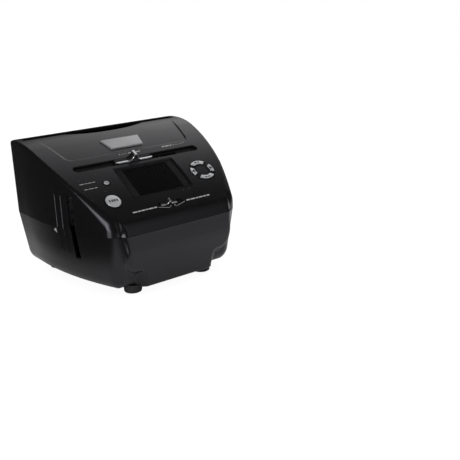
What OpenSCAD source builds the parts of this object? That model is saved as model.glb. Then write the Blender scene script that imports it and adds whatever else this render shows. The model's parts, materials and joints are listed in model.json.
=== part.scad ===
// Film and photo scanner for 35 mm film holders and a print tray, in millimetres.
// Origin: centre of the footprint on the desk. +X right, +Y to the back, +Z up.
// The camera looks back along +Y: first the film channel, then the sliding backlight,
// then the print chute under the slot in the top.

/* [Housing] */
// Width across the back
body_w = 187; // [180:1:194]
// Depth, from the front block to the back wall
body_d = 154; // [150:1:160]
// Height of the seam between the two housings
seam_z = 63; // [61:1:65]
// Height of the panel's front edge above the seam
band_h = 8; // [6:0.5:10]
// Height of the panel where its crown begins
crown_z = 129.2; // [127:0.2:131]
// Distance from the crown's beginning to the back wall
crown_l = 47; // [42:1:52]
// Radius of the panel's arch, seen from the side
panel_r = 350; // [320:5:380]
// Radius of the crown that levels the panel out at the print slot
crown_r = 90; // [80:5:120]
// Radius that the sides follow in plan, towards the front
side_r = 275; // [260:5:340]
// Radius of the corners in plan, and of the panel's edge at the cheeks
edge_r = 8; // [6:0.5:9]
// Radius of the panel's edge along the sides and the back
crisp_r = 2.6; // [2:0.2:4]
// Wall of both housings
wall = 2.5; // [2:0.1:3]
// Step from the cheeks forward to the front block's band
cheek_step = 5; // [4:0.5:7]
// How far the front block bulges past the band
block_bulge = 2; // [1:0.5:3]
// Half width of the front block at the seam
block_hw = 59.5; // [57:0.5:62]
// Half width of the front block's foot
stem_hw = 41; // [38:0.5:44]
// Height of the shoulder where the front block steps in
shoulder_z = 26; // [22:1:30]
// Height of the bulge line across the front block
bulge_z = 44; // [40:1:48]
// Height of the underside
base_z = 8; // [6:0.5:10]
// Lean of the lower sides, mm inwards per mm down
side_lean = 0.15; // [0.1:0.01:0.2]
// Radius of the turn from the lower sides to the underside
bilge_r = 13; // [10:0.5:15]
// Lip of the lower housing that reaches up inside the upper one
seam_lip = 3; // [2:0.5:4]

/* [Slots] */
// Distance from each end of the print slot to the side
slot_inset = 8; // [6:0.5:11]
// Width of the print slot
print_slot_w = 8.5; // [7:0.5:9]
// Depth of the finger scallop in the print slot's front edge
scallop_d = 10; // [8:0.5:12]
// Half length of the finger scallop
scallop_hl = 45; // [40:1:52]
// Distance of the film channel's middle behind the front edge
film_back = 51.5; // [49:0.5:53]
// Gap between the film channel's walls
film_gap = 7; // [6:0.5:7.5]
// Height of the film channel
film_h = 60; // [56:1:60]
// Lowest edge of the film channel
film_z = 35.5; // [34:0.5:36]

/* [Display] */
// Width of the viewing area
lcd_w = 49; // [44:0.5:50]
// Height of the viewing area, along the slope
lcd_h = 36.8; // [33:0.1:37]
// Border from the viewing area to the pocket's rim
lcd_border = 9; // [6:0.5:10]
// Upper and lower border of the pocket
lcd_border_v = 3; // [2.5:0.5:3.5]
// Depth of the display's pocket
lcd_depth = 2.2; // [1.8:0.1:2.4]
// Thickness of the clear window
window_t = 1; // [0.8:0.1:1.2]
// Distance of the display's middle behind the front edge
lcd_back = 42; // [41:0.5:43]

/* [Controls] */
// Diameter of the scan button
scan_d = 15.5; // [13:0.5:16]
// Diameter of the power button
power_d = 6; // [5:0.5:7]
// Outer radius of the ring of four buttons
ring_r = 13.2; // [12:0.2:13.6]
// Inner radius of the ring of four buttons
ring_bore_r = 6.8; // [6:0.2:7.4]
// Travel of a button
button_travel = 0.7; // [0.5:0.1:0.8]
// How far a button's cap stands out
button_proud = 0.8; // [0.5:0.1:1.2]
// Gap between a button and its hole
button_gap = 0.3; // [0.25:0.05:0.4]
// Half length of the slider's groove, between the end centres
groove_hl = 64.5; // [60:0.5:66]
// Width of the slider's groove
groove_w = 8; // [7:0.5:9]
// Distance of the groove behind the front edge
groove_back = 67.3; // [67:0.1:68]
// Length of the slider knob
knob_l = 41; // [36:1:44]
// Height of the slider knob's fin above the panel
knob_fin = 8; // [6:0.5:9]
// Knob's place in its film position
knob_x = -6; // [-8:0.5:-4]
// Travel of the slider from film to prints
knob_travel = 46; // [42:1:46]
// Length of the focus switch's knob
focus_l = 17.5; // [15:0.5:19]
// Travel of the focus switch
focus_travel = 5; // [3:0.5:6]

/* [Inside] */
// Radius of the slider's guide rod
rod_r = 2; // [1.5:0.25:2.5]
// Thickness of the circuit boards
board_t = 1.6; // [1.2:0.2:2]
// Thickness of the film gates
gate_t = 1.5; // [1.2:0.1:1.8]
// Radius of a foot
foot_r = 9; // [7.5:0.5:9.5]
// Radius of the screw shafts
screw_r = 1.5; // [1.25:0.25:1.75]
// Gap between parts that are assembled by sliding together
fit = 0.3; // [0.2:0.05:0.4]
// Radial gap of a running fit
run_fit = 0.05; // [0.03:0.01:0.08]

/* [Hidden] */
$fn = 48;
eps = 0.01;

black = "#17181a";
satin = "#26272a";
silver = "#c9ccd0";
steel = "#9a9fa5";
green = "#2f6b45";
white = "#eef0ee";
clear = "#cfe0e8";

band_y = -body_d / 2 + block_bulge;
cheek_y = band_y + cheek_step;
rear_y = body_d / 2;
band_z = seam_z + band_h;
print_y = rear_y - 20.5;            // front edge of the print slot
film_y = band_y + film_back;
lcd_y = band_y + lcd_back;
groove_y = band_y + groove_back;
print_slot_hl = body_w / 2 - slot_inset;

// Centre of the panel's arch, through its front edge and the beginning of its crown
crown_y = rear_y - crown_l;
chord = [crown_y - band_y, crown_z - band_z];
chord_l = norm(chord);
rise = sqrt(panel_r * panel_r - chord_l * chord_l / 4);
arch = [(crown_y + band_y) / 2 + chord[1] / chord_l * rise,
        (crown_z + band_z) / 2 - chord[0] / chord_l * rise];
// Centre of the crown, on the arch's own radius, so that the two run smoothly together
crown = [crown_y, crown_z] + (arch - [crown_y, crown_z]) * crown_r / panel_r;

function crowned(y, in = 0) = y > crown_y + (arch[0] - crown_y) * in / panel_r;
function panel_z(y, in = 0) = crowned(y, in)
    ? crown[1] + sqrt(pow(crown_r - in, 2) - pow(y - crown[0], 2))
    : arch[1] + sqrt(pow(panel_r - in, 2) - pow(y - arch[0], 2));
function tilt(y) = crowned(y) ? asin((crown[0] - y) / crown_r) : asin((arch[0] - y) / panel_r);
slot_z = panel_z(print_y);
side_start = rear_y - 27;           // the sides are straight behind this
function side_x(y) = body_w / 2 - pow(max(0, side_start - y), 2) / (2 * side_r);

// Places a child on the panel, with its own +Z along the panel's normal
module on_panel(x, y) translate([x, y, panel_z(y)]) rotate([tilt(y), 0, 0]) children();
module mirrored_x() for (s = [0, 1]) mirror([s, 0, 0]) children();
module extrude_x(hw) translate([-hw, 0, 0]) rotate([90, 0, 90]) linear_extrude(2 * hw) children();
module extrude_y(y0, y1) translate([0, y1, 0]) rotate([90, 0, 0]) linear_extrude(y1 - y0) children();
module stadium(half_l, w) {
    square([2 * half_l, w], center = true);
    mirrored_x() translate([half_l, 0]) circle(w / 2);
}
module box(low, high) translate(low) cube(high - low);
// A symmetric outline from its right half, listed from the lower to the upper end
function both_sides(half) = concat(half, [for (i = [len(half) - 1 : -1 : 0]) [-half[i][0], half[i][1]]]);

// ---- housing forms ----

function between(a, b, n) = [for (i = [0 : n]) a + (b - a) * i / n];
side_stations = concat(between(cheek_y + edge_r, crown_y - 14, 6), between(crown_y, rear_y - edge_r, 5));
crisp_from = 32;                    // the edge is round at the cheeks and crisp this far behind them
function crease_r(y) = crisp_r + (edge_r - crisp_r) * max(0, 1 - (y - cheek_y - edge_r) / crisp_from);

// Round head of the panel's edge, at a place in plan that is already inset by the edge's radius
module edge_head(x, y, r, in) translate([x, y, panel_z(y, in + r)]) sphere(r, $fn = r > 5 ? 24 : 16);

// Volume of the upper housing: a rounded foot and the round edge of its arched top
module upper_form(in = 0) {
    corner = [side_x(rear_y - edge_r) - edge_r, rear_y - edge_r];
    rear_head = max(crisp_r - in, 0.5);
    hull() mirrored_x() {
        for (y = side_stations) {
            r = max(crease_r(y) - in, 0.5);
            translate([side_x(y) - edge_r, y, seam_z - (in > 0 ? 1 : 0)])
                cylinder(r = edge_r - in, h = 1, $fn = 24);
            edge_head(side_x(y) - in - r, y, r, in);
        }
        for (a = [30 : 30 : 90]) let (reach = edge_r - in - rear_head)
            edge_head(corner[0] + reach * cos(a), corner[1] + reach * sin(a), rear_head, in);
    }
}

// Side view of the front block's upper part, under the panel
module band_profile(in) {
    y0 = band_y + in;
    soft = 2;
    polygon(concat(
        [[cheek_y + 12, seam_z - (in > 0 ? 1 : 0)], [y0, seam_z - (in > 0 ? 1 : 0)]],
        [for (a = [0 : 15 : 60]) [y0 + soft * (1 - cos(a)), panel_z(y0 + soft, in) - soft + soft * sin(a)]],
        [for (i = [1 : 6]) let (y = y0 + soft + i * (cheek_y + 12 - y0 - soft) / 6) [y, panel_z(y, in)]]));
}

// Plan of the front block, with round front corners
module block_plan(in, y0, r) {
    hw = block_hw - in;
    translate([-hw, y0 + in + r]) square([2 * hw, 60]);
    translate([-hw + r, y0 + in]) square([2 * (hw - r), r + 1]);
    mirrored_x() translate([hw - r, y0 + in + r]) circle(r);
}

module upper_block(in = 0) {
    intersection() {
        extrude_x(block_hw - in) band_profile(in);
        translate([0, 0, seam_z - 2]) linear_extrude(40) block_plan(in, band_y, 4);
    }
}

// How far the lower sides have moved in at height z
function lean(z) = (seam_z - z) * side_lean + turn(z, bilge_r);
function turn(z, r) = let (d = max(0, base_z + r - z)) r - sqrt(r * r - d * d);
rear_turn = 8;

// Rounded plan of the lower housing at height z
module lower_slice(z, in) {
    r = edge_r - in;
    y0 = cheek_y + lean(z) + edge_r;
    y1 = rear_y - turn(z, rear_turn) - edge_r;
    mirrored_x() for (i = [0 : 4]) {
        y = y0 + (y1 - y0) * i / 4;
        translate([side_x(y) - lean(z) - edge_r, y]) circle(r, $fn = 24);
    }
}

module lower_form(in = 0) {
    heights = [base_z + in, base_z + in + 1.5, base_z + 5, base_z + 9, base_z + bilge_r + 2, seam_z];
    hull() for (z = heights)
        translate([0, 0, z - (z == seam_z && in == 0 ? eps : 0)]) linear_extrude(eps) lower_slice(z, in);
}

// Tongue of the lower housing that locates the upper one, clear of its bosses
tongue_t = 1.2;
tongue_in = wall + fit;
module seam_ring(from, to) difference() {
    hull() lower_slice(seam_z, from);
    hull() lower_slice(seam_z, to);
}
module seam_tongue() {
    translate([0, 0, seam_z - 3]) linear_extrude(3) seam_ring(wall - 0.3, tongue_in + tongue_t);
    difference() {
        translate([0, 0, seam_z - eps]) linear_extrude(seam_lip) seam_ring(tongue_in, tongue_in + tongue_t);
        mirrored_x() translate([boss_front[0], boss_front[1], seam_z])
            cylinder(r = boss_r + fit, h = seam_lip + 1);
    }
}

// Front view of the front block: wide at the seam, a round shoulder, a narrower foot
module block_front(in) {
    corner = 12;
    inset_hw = block_hw - 3;
    polygon(both_sides(concat(
        [[stem_hw - 2 - in, base_z + in], [stem_hw - in, shoulder_z - 3 + in],
         [stem_hw + 3 - in, shoulder_z + in]],
        [for (a = [90 : -15 : 0]) [inset_hw - corner + (corner - in) * cos(a),
                                   shoulder_z + corner - (corner - in) * sin(a)]],
        [[block_hw - in, seam_z], [block_hw - in, seam_z + in]])));
}

module block_side(in) {
    polygon([[film_y - 8, base_z + in], [band_y + 9 + in, base_z + in], [band_y + 7 + in, base_z + 2 + in],
             [-body_d / 2 + in, bulge_z - 3], [-body_d / 2 + in, bulge_z + 3], [band_y + in, seam_z],
             [band_y + in, seam_z + in], [film_y - 8, seam_z + in]]);
}

module lower_block(in = 0) {
    intersection() {
        extrude_x(block_hw + 1) block_side(in);
        extrude_y(-body_d / 2 - 1, film_y - 8) block_front(in);
        translate([0, 0, base_z - 1]) linear_extrude(seam_z) block_plan(in, -body_d / 2, 6);
    }
}

// ---- openings in the housings ----

print_rear = print_y + print_slot_w;

module print_slot() {
    translate([0, 0, slot_z - 16]) linear_extrude(40) {
        translate([-print_slot_hl, print_y]) square([2 * print_slot_hl, print_slot_w]);
        polygon(concat(
            [for (t = between(-1, 1, 24)) [scallop_hl * t, print_y - scallop_d * (1 - pow(abs(t), 2.6))]],
            [[scallop_hl, print_y + 1], [-scallop_hl, print_y + 1]]));
    }
}

flute_r = 7;
flute_depth = 1.2;
// Film opening through both sides, with two shallow flutes beside it
module film_slots() {
    box([-body_w, film_y - film_gap / 2, film_z], [body_w, film_y + film_gap / 2, film_z + film_h]);
    mirrored_x() for (i = [0, 1]) {
        y = film_y + film_gap / 2 + 5 + 8 * i;
        lean_deg = atan(side_lean);
        translate([side_x(y) + flute_r - flute_depth, y, seam_z]) {
            cylinder(r = flute_r, h = film_z + film_h - seam_z);
            mirror([0, 0, 1]) rotate([0, -lean_deg, 0]) cylinder(r = flute_r, h = seam_z - film_z);
        }
    }
}

// ---- panel features, in the panel's own frame ----

pocket_w = lcd_w + 2 * lcd_border;
pocket_h = lcd_h + 2 * lcd_border_v;
pocket_bevel = 2;
seat_t = 0.8;                       // display seat below the panel's wall
keys_x = body_w / 2 - 40;           // the buttons keep their distance from the sides
power_at = [5.3 - keys_x, band_y + 45.4];
scan_at = [-keys_x, band_y + 25.9];
key_left = [2.5 - keys_x, band_y + 33];
key_right = [keys_x + 0.2, band_y + 38.1];
focus_at = [-4, band_y + 13.2];
focus_slot_w = 4.6;
plate_y = band_y + 94;
plate_t = 0.8;

module display_pocket() hull() {
    translate([-pocket_w / 2, -pocket_h / 2, 0]) cube([pocket_w, pocket_h, 4]);
    translate([0, 0, -lcd_depth]) linear_extrude(eps)
        square([pocket_w - 2 * pocket_bevel, pocket_h - 2 * pocket_bevel], center = true);
}

// One button of the ring: a curved bar between two radii
module ring_shape(span, in = 0) {
    a = span / 2 - in / ring_r * 57.3;
    polygon(concat([for (i = [-6 : 6]) (ring_r - in) * [cos(90 + a * i / 6), sin(90 + a * i / 6)]],
        [for (i = [6 : -1 : -6]) let (b = 90 + (a - 4) * i / 6) (ring_bore_r + in) * [cos(b), sin(b)]]));
}
ring_names = [["mode", 96, 0], ["left", 64, 90], ["enter", 96, 180], ["right", 64, 270]];

module name_plate_shape(in = 0) polygon(both_sides([[17.6 - in, -8.6 + in], [21.5 - in, 8.6 - in]]));

field_sink = 0.6;
field_front = groove_y + 12.2;
field_rear = print_y - 4;
field_side = body_w / 2 - 26;       // half width at the front edge
field_fade = 20;                    // the step runs out over this length, up to the print slot
function field_depth(y) = field_sink * min(1, (field_rear - y) / field_fade);
// Shallow field behind the groove, one step below the panel
module field_recess() intersection() {
    translate([0, 0, band_z]) linear_extrude(90)
        polygon(both_sides([[field_side - 3, field_front], [field_side + 1, field_front + 3.5],
            [field_side + 12, field_rear]]));
    extrude_x(body_w / 2) polygon(concat(
        [for (y = between(field_front - 1, field_rear, 16)) [y, panel_z(y, field_depth(y))]],
        [for (y = between(field_rear, field_front - 1, 8)) [y, panel_z(y) + 2]]));
}

// Stays under the panel that carry the key boards, each with a riveted pin
key_floor = -wall - 0.55;           // top of the flanges, under the curved wall
flange_t = 1;
switch_h = 2.2;
switch_w = 4.5;
stem_end = key_floor - flange_t - 0.2;
switch_top = stem_end - button_travel - 0.1;
board_top = switch_top - switch_h - 0.2;
left_stays = [[9.6, 3], [-9.6, 7]];
right_stays = [[12.5, -12.2], [-12.5, -12.2]];
pin_r = 0.9;
module key_stays(at) for (p = at) translate([p[0], p[1], 0]) {
    translate([0, 0, board_top + eps]) cylinder(r = 2, h = -board_top - 1);
    translate([0, 0, board_top - board_t - 0.6]) cylinder(r = pin_r, h = board_t + 1);
}

boss_front = [36, band_y + 13];
boss_rear = [60, rear_y - 37];
boss_r = 4.5;
screw_depth = 10;                   // screw thread above the seam
head_z = seam_z - 14;               // seat of the screw heads

rod_at = [groove_y + 4.5, panel_z(groove_y + 4.5) - 12];
rib_x = groove_hl + 7;

// Things that hang from the inside of the upper housing
module upper_inside() {
    mirrored_x() {
        for (at = [boss_front, boss_rear]) translate([at[0], at[1], seam_z]) cylinder(r = boss_r, h = 90);
        box([rib_x, rod_at[0] - 5, rod_at[1] - 5], [rib_x + 3, rod_at[0] + 5, rod_at[1] + 30]);
    }
    on_panel(0, lcd_y) translate([-pocket_w / 2 - 1, -pocket_h / 2, -wall - seat_t])
        cube([pocket_w + 2, pocket_h, wall]);
    on_panel(key_left[0], key_left[1]) key_stays(left_stays);
    on_panel(key_right[0], key_right[1]) key_stays(right_stays);
}

module upper_housing() color(black) {
    difference() {
        union() {
            difference() {
                union() { upper_form(); upper_block(); }
                upper_form(wall);
                upper_block(wall);
            }
            intersection() { upper_form(0.5); upper_inside(); }
        }
        print_slot();
        film_slots();
        field_recess();
        // Screw pilots and the guide rod's bores
        mirrored_x() {
            for (at = [boss_front, boss_rear]) translate([at[0], at[1], seam_z - 1])
                cylinder(r = screw_r + run_fit, h = screw_depth + 2);
            translate([rib_x - 1, rod_at[0], rod_at[1]]) rotate([0, 90, 0])
                cylinder(r = rod_r + run_fit, h = 3);
        }
        on_panel(0, lcd_y) {
            display_pocket();
            cube([lcd_w + 2 * fit + 0.6, lcd_h + 2 * fit + 0.6, 12], center = true);
        }
        on_panel(0, groove_y) translate([0, 0, -5]) linear_extrude(10) stadium(groove_hl, groove_w);
        on_panel(focus_at[0] + focus_travel / 2, focus_at[1]) {
            translate([0, 0, -1.3]) linear_extrude(5)
                stadium((focus_l + focus_travel - focus_slot_w) / 2 + 1.6, focus_slot_w);
            translate([0, 0, -5]) linear_extrude(10) stadium(focus_travel / 2 + 2.5, 2.6);
        }
        on_panel(0, plate_y) translate([0, 0, -plate_t]) linear_extrude(4) name_plate_shape(-0.15);
        on_panel(scan_at[0], scan_at[1]) cylinder(d = scan_d + 2 * button_gap, h = 12, center = true);
        on_panel(power_at[0], power_at[1]) cylinder(d = power_d + 2 * button_gap, h = 12, center = true);
        on_panel(key_right[0], key_right[1]) for (b = ring_names)
            rotate(b[2]) translate([0, 0, -5]) linear_extrude(10) ring_shape(b[1], -button_gap);
    }
}

floor_z = base_z + wall;
foot_front = [39.5, band_y + 27];
foot_rear = [62, rear_y - 17];
post_z = 16;                        // top of the main board's posts
board_hw = 41;
board_front = film_y + 11.5;
board_rear = rear_y - wall - 1;
board_posts = [[board_hw - 5, board_front + 8], [board_hw - 5, board_rear - 29.5]];
usb_x = -22;
usb_size = [7.7, 9, 3.9];
card_x = 14;
card_size = [28, 26, 3];
socket_y = rear_y - wall - 0.2;     // face of the sockets, behind their mouths

module lower_housing() color(black) {
    difference() {
        union() {
            difference() {
                union() { lower_form(); lower_block(); }
                lower_form(wall);
                lower_block(wall);
            }
            seam_tongue();
            // Towers for the housing screws and posts for the main board
            mirrored_x() {
                for (at = [boss_front, boss_rear]) translate([at[0], at[1], base_z])
                    cylinder(r = boss_r, h = seam_z - base_z);
                for (at = board_posts) translate([at[0], at[1], base_z + 1])
                    cylinder(r = 3, h = post_z - base_z - 1);
            }
        }
        film_slots();
        mirrored_x() {
            for (at = [boss_front, boss_rear]) translate([at[0], at[1], base_z - 1]) {
                cylinder(r = screw_r + 0.2, h = seam_z);
                cylinder(r = 3.3, h = head_z - base_z + 1);
            }
            for (at = board_posts) translate([at[0], at[1], floor_z]) cylinder(r = 1 + run_fit, h = post_z);
        }
        // Mouths of the sockets in the back wall
        box([usb_x - usb_size[0] / 2 - 0.4, rear_y - 4, post_z + board_t - 0.4],
            [usb_x + usb_size[0] / 2 + 0.4, rear_y + 1, post_z + board_t + usb_size[2] + 0.4]);
        box([card_x - card_size[0] / 2 + 1, rear_y - 4, post_z + board_t],
            [card_x + card_size[0] / 2 - 1, rear_y + 1, post_z + board_t + card_size[2]]);
    }
}

module rubber_feet() color(satin) mirrored_x() for (at = [foot_front, foot_rear])
    translate([at[0], at[1], 0]) rotate_extrude()
        polygon([[0, 0], [foot_r - 1.5, 0], [foot_r - 0.5, 1], [foot_r, base_z], [0, base_z]]);

module housing_screws() color(steel) mirrored_x() for (at = [boss_front, boss_rear])
    translate([at[0], at[1], 0]) {
        translate([0, 0, head_z - 2]) cylinder(r = 2.9, h = 2 - eps);
        translate([0, 0, head_z - 1]) cylinder(r = screw_r, h = seam_z + screw_depth - head_z + 1);
    }

module name_plate() color(silver) on_panel(0, plate_y) translate([0, 0, -plate_t + eps]) {
    linear_extrude(plate_t + 0.3) name_plate_shape();
    linear_extrude(plate_t + 0.8) name_plate_shape(0.9);
}

// ---- display ----

module display_window() color(clear, 0.5) on_panel(0, lcd_y) translate([0, 0, -lcd_depth + eps])
    linear_extrude(window_t) square([pocket_w - 2 * pocket_bevel - 0.6, pocket_h - 2 * pocket_bevel - 0.6],
                                    center = true);

module display_module() color("#111318") on_panel(0, lcd_y) {
    translate([-lcd_w / 2, -lcd_h / 2, -wall - seat_t - 0.5])
        cube([lcd_w, lcd_h, wall + seat_t + 0.4 - lcd_depth]);
    translate([-lcd_w / 2 - 4, -lcd_h / 2 - 2.5, -wall - seat_t - 2.1]) cube([lcd_w + 8, lcd_h + 5, 2]);
}

// ---- film and print slider ----

track_w = 12;
track_t = 1.5;
module slider_track() color(satin) on_panel(0, groove_y) translate([0, 0, -wall - fit - track_t])
    linear_extrude(track_t) difference() {
        square([2 * groove_hl + 10, track_w], center = true);
        translate([knob_x + knob_travel / 2, 0]) stadium(knob_travel / 2 + 3, 3.4);
    }

fin_hw = 1.7;
// Front view of the knob: a low bar that flares up into a central fin
module knob_profile(half_l, foot, bar, fin, thick, r) polygon(both_sides(concat(
    [[half_l, foot], [half_l, bar - 1], [half_l - 2, bar]],
    [for (a = [0 : 15 : 90]) [thick + r - r * sin(a), bar + r - r * cos(a)]],
    [[thick - 0.3, fin]])));

stem_hw_x = 2.6;
module slider_knob() color(silver) on_panel(knob_x, groove_y) intersection() {
    union() {
        extrude_y(-groove_w / 2 + fit, groove_w / 2 - fit)
            knob_profile(knob_l / 2, -wall + fit, 1.4, knob_fin, fin_hw, knob_fin - 1.8);
        box([-stem_hw_x, -1.2, -wall - 1.8 - fit], [stem_hw_x, 1.2, 0]);
    }
    translate([0, 0, -9]) linear_extrude(30) difference() {
        square([knob_l, groove_w], center = true);
        for (s = [-1, 1]) mirrored_x() translate([knob_l / 2 + 2, s * (groove_w / 2 + 7.5)]) circle(9);
    }
}

gate_hl = 20;                       // half length of the film gates' window
film_mid_z = film_z + film_h / 2;
light_y0 = film_y + film_gap / 2 + gate_t + 1.6;
light_y1 = light_y0 + 10;
light_hw = 23;
light_z0 = film_mid_z - 18;
light_z1 = film_mid_z + 18;
light_wall = 1.5;
light_in = light_wall + 0.2;        // the pieces inside the housing start here
sleeve_r = rod_r + 2.2;

// Hangs from the knob, rides on the guide rod and carries the backlight's housing
module backlight_carriage() color(satin) {
    difference() {
        union() {
            on_panel(knob_x, groove_y) box([-7, -3, -wall - 1.8 - fit - 4], [7, 3, -wall - 1.8 - fit]);
            translate([knob_x - 14, rod_at[0], rod_at[1]]) rotate([0, 90, 0]) cylinder(r = sleeve_r, h = 28);
            box([knob_x - 7, light_y1 - 2, light_z1 - 1], [knob_x + 7, light_y1 + 1, rod_at[1] + 1]);
            box([knob_x - 7, light_y1 - 2, rod_at[1] - sleeve_r],
                [knob_x + 7, rod_at[0], rod_at[1] + sleeve_r]);
            box([-light_hw, light_y0, light_z0], [light_hw, light_y1, light_z1]);
        }
        box([-light_hw + light_wall, light_y0 - 1, light_z0 + light_wall],
            [light_hw - light_wall, light_y1 - light_wall, light_z1 - light_wall]);
        translate([knob_x - 15, rod_at[0], rod_at[1]]) rotate([0, 90, 0])
            cylinder(r = rod_r + run_fit, h = 30);
    }
}

module backlight_diffuser() color(white)
    box([-light_hw + light_in, light_y0 + 0.5, light_z0 + light_in],
        [light_hw - light_in, light_y0 + 2.5, light_z1 - light_in]);

module backlight_board() color(green) {
    y = light_y1 - light_wall - eps;
    box([-light_hw + light_in, y - board_t, light_z0 + light_in], [light_hw - light_in, y, light_z1 - light_in]);
    for (x = [-13, 0, 13], z = [-9, 0, 9]) translate([x, y - board_t - 0.8 + eps, film_mid_z + z])
        box([-1.5, 0, -1.5], [1.5, 0.8, 1.5]);
}

module guide_rod() color(steel) translate([-rib_x - 1.8, rod_at[0], rod_at[1]]) rotate([0, 90, 0])
    cylinder(r = rod_r, h = 2 * rib_x + 3.6);

// ---- focus switch ----

module focus_knob() color(silver) on_panel(focus_at[0], focus_at[1]) {
    extrude_y(-focus_slot_w / 2 + fit, focus_slot_w / 2 - fit)
        knob_profile(focus_l / 2, -1, 0.8, 4.6, 1.1, 3.2);
    box([-1.6, -1, -wall - 1], [1.6, 1, -0.9]);
}

lens_r = 7;
barrel_y0 = boss_front[1] + 3;
barrel_y1 = barrel_y0 + 13;
lever_y = barrel_y1 + 1.2;
bend_y = focus_at[1] + 0.8;
bend_z = film_mid_z + lens_r + 2.5;
// Bent strip from the focus switch down to the swinging close-up lens
module focus_lever() color(satin) {
    t = 1.6;
    difference() {
        union() {
            on_panel(focus_at[0], focus_at[1]) box([-3.5, -2.5, -wall - 2.6], [3.5, 2.5, -wall - 1]);
            box([focus_at[0] - 3, bend_y, bend_z],
                [focus_at[0] + 3, bend_y + t, panel_z(bend_y, wall) - 2]);
            box([focus_at[0] - 3, bend_y, bend_z], [focus_at[0] + 3, lever_y + t, bend_z + t]);
            box([focus_at[0] - 3, lever_y, film_mid_z], [focus_at[0] + 3, lever_y + t, bend_z + t]);
            translate([0, lever_y, film_mid_z]) rotate([-90, 0, 0]) cylinder(r = lens_r + 2, h = t);
        }
        translate([0, lever_y - 1, film_mid_z]) rotate([-90, 0, 0]) cylinder(r = lens_r - 1.5, h = t + 2);
        translate([0, lever_y + 0.6, film_mid_z]) rotate([-90, 0, 0]) cylinder(r = lens_r, h = t + 2);
    }
}

module close_up_lens() color(clear, 0.6) translate([0, lever_y + 0.6 + eps, film_mid_z]) rotate([-90, 0, 0])
    rotate_extrude() polygon([[0, 0], [lens_r - run_fit, 0], [lens_r - run_fit, 1],
        for (a = [15 : 15 : 90]) [(lens_r - run_fit) * cos(a), 1 + 1.2 * sin(a)]]);

// ---- buttons ----

// A tongue under the wall carries the press from a cap to its stem over the switch
module key_stem(at) {
    hw = 1.4;
    translate([at[0], at[1], stem_end]) cylinder(r = hw, h = key_floor - stem_end);
    translate([at[0] - hw, min(0, at[1]), key_floor - flange_t]) cube([2 * hw, abs(at[1]) + eps, flange_t]);
}

module round_button(d, stem) color(silver) {
    edge = 0.6;
    rotate_extrude() polygon([[0, key_floor - flange_t], [d / 2 + 1.2, key_floor - flange_t],
        [d / 2 + 1.2, key_floor], [d / 2, key_floor], [d / 2, button_proud - edge],
        [d / 2 - edge, button_proud], [0, button_proud + 0.2]]);
    key_stem(stem);
}

power_stem = [0, -7];
module scan_button() on_panel(scan_at[0], scan_at[1]) round_button(scan_d, [0, 0]);
module power_button() on_panel(power_at[0], power_at[1]) round_button(power_d, power_stem);

ring_mid = (ring_r + ring_bore_r) / 2;
// Where each button of the ring presses its switch, from the ring's centre
ring_stems = [1.4, ring_mid, ring_mid, ring_mid];
module ring_button(i) color(silver) on_panel(key_right[0], key_right[1]) rotate(ring_names[i][2]) {
    span = ring_names[i][1];
    translate([0, 0, key_floor]) linear_extrude(button_proud - key_floor - 0.5) ring_shape(span);
    translate([0, 0, key_floor]) linear_extrude(button_proud - key_floor) ring_shape(span, 0.5);
    translate([0, 0, key_floor - flange_t]) linear_extrude(flange_t + eps) ring_shape(span, -1);
    translate([0, ring_mid, 0]) key_stem([0, ring_stems[i] - ring_mid]);
}

module mode_button() ring_button(0);
module left_button() ring_button(1);
module enter_button() ring_button(2);
module right_button() ring_button(3);

// Width, front edge and rear edge of each board, from its place on the panel
left_board = [24, -14, 9];
right_board = [2 * right_stays[0][0] + 6, -14, 4];
module key_board(shape, holes) difference() {
    translate([-shape[0] / 2, shape[1], board_top - board_t])
        cube([shape[0], shape[2] - shape[1], board_t]);
    for (p = holes) translate([p[0], p[1], board_top - board_t - 1])
        cylinder(r = pin_r + 0.2, h = board_t + 2);
}
module left_key_board() color(green) on_panel(key_left[0], key_left[1]) key_board(left_board, left_stays);
module right_key_board() color(green) on_panel(key_right[0], key_right[1])
    key_board(right_board, right_stays);

module key_switch() {
    translate([-switch_w / 2, -switch_w / 2, switch_top - switch_h])
        cube([switch_w, switch_w, switch_h - 0.6]);
    translate([0, 0, switch_top - 0.7]) cylinder(r = 1.5, h = 0.7);
}
module key_switches() color("#3a3c40") {
    on_panel(scan_at[0], scan_at[1]) key_switch();
    on_panel(power_at[0], power_at[1]) translate([power_stem[0], power_stem[1], 0]) key_switch();
    on_panel(key_right[0], key_right[1]) for (i = [0 : 3])
        rotate(ring_names[i][2]) translate([0, ring_stems[i], 0]) key_switch();
}

// ---- film channel ----

gate_end = side_x(film_y - film_gap / 2 - gate_t) - tongue_in - tongue_t - fit;
gate_end_low = gate_end - (seam_z - film_z) * side_lean;
gate_leg = [24, 38];                // inner and outer side of each gate's leg
module gate_outline(y) extrude_y(y, y + gate_t) difference() {
    polygon(both_sides([[gate_leg[0], film_z - 2], [gate_leg[0], floor_z + eps],
        [gate_leg[1], floor_z + eps], [gate_leg[1], film_z - 2], [gate_end_low, film_z - 2],
        [gate_end, seam_z], [gate_end, film_z + film_h]]));
    translate([-gate_hl, film_mid_z - 14]) square([2 * gate_hl, 28]);
}

module film_gate_front() color(satin) gate_outline(film_y - film_gap / 2 - gate_t);
module film_gate_rear() color(satin) {
    y = film_y + film_gap / 2;
    gate_outline(y);
    box([-gate_end_low, film_y - film_gap / 2 + eps, film_z - 2], [gate_end_low, y + eps, film_z]);
}

// ---- print chute ----

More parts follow.
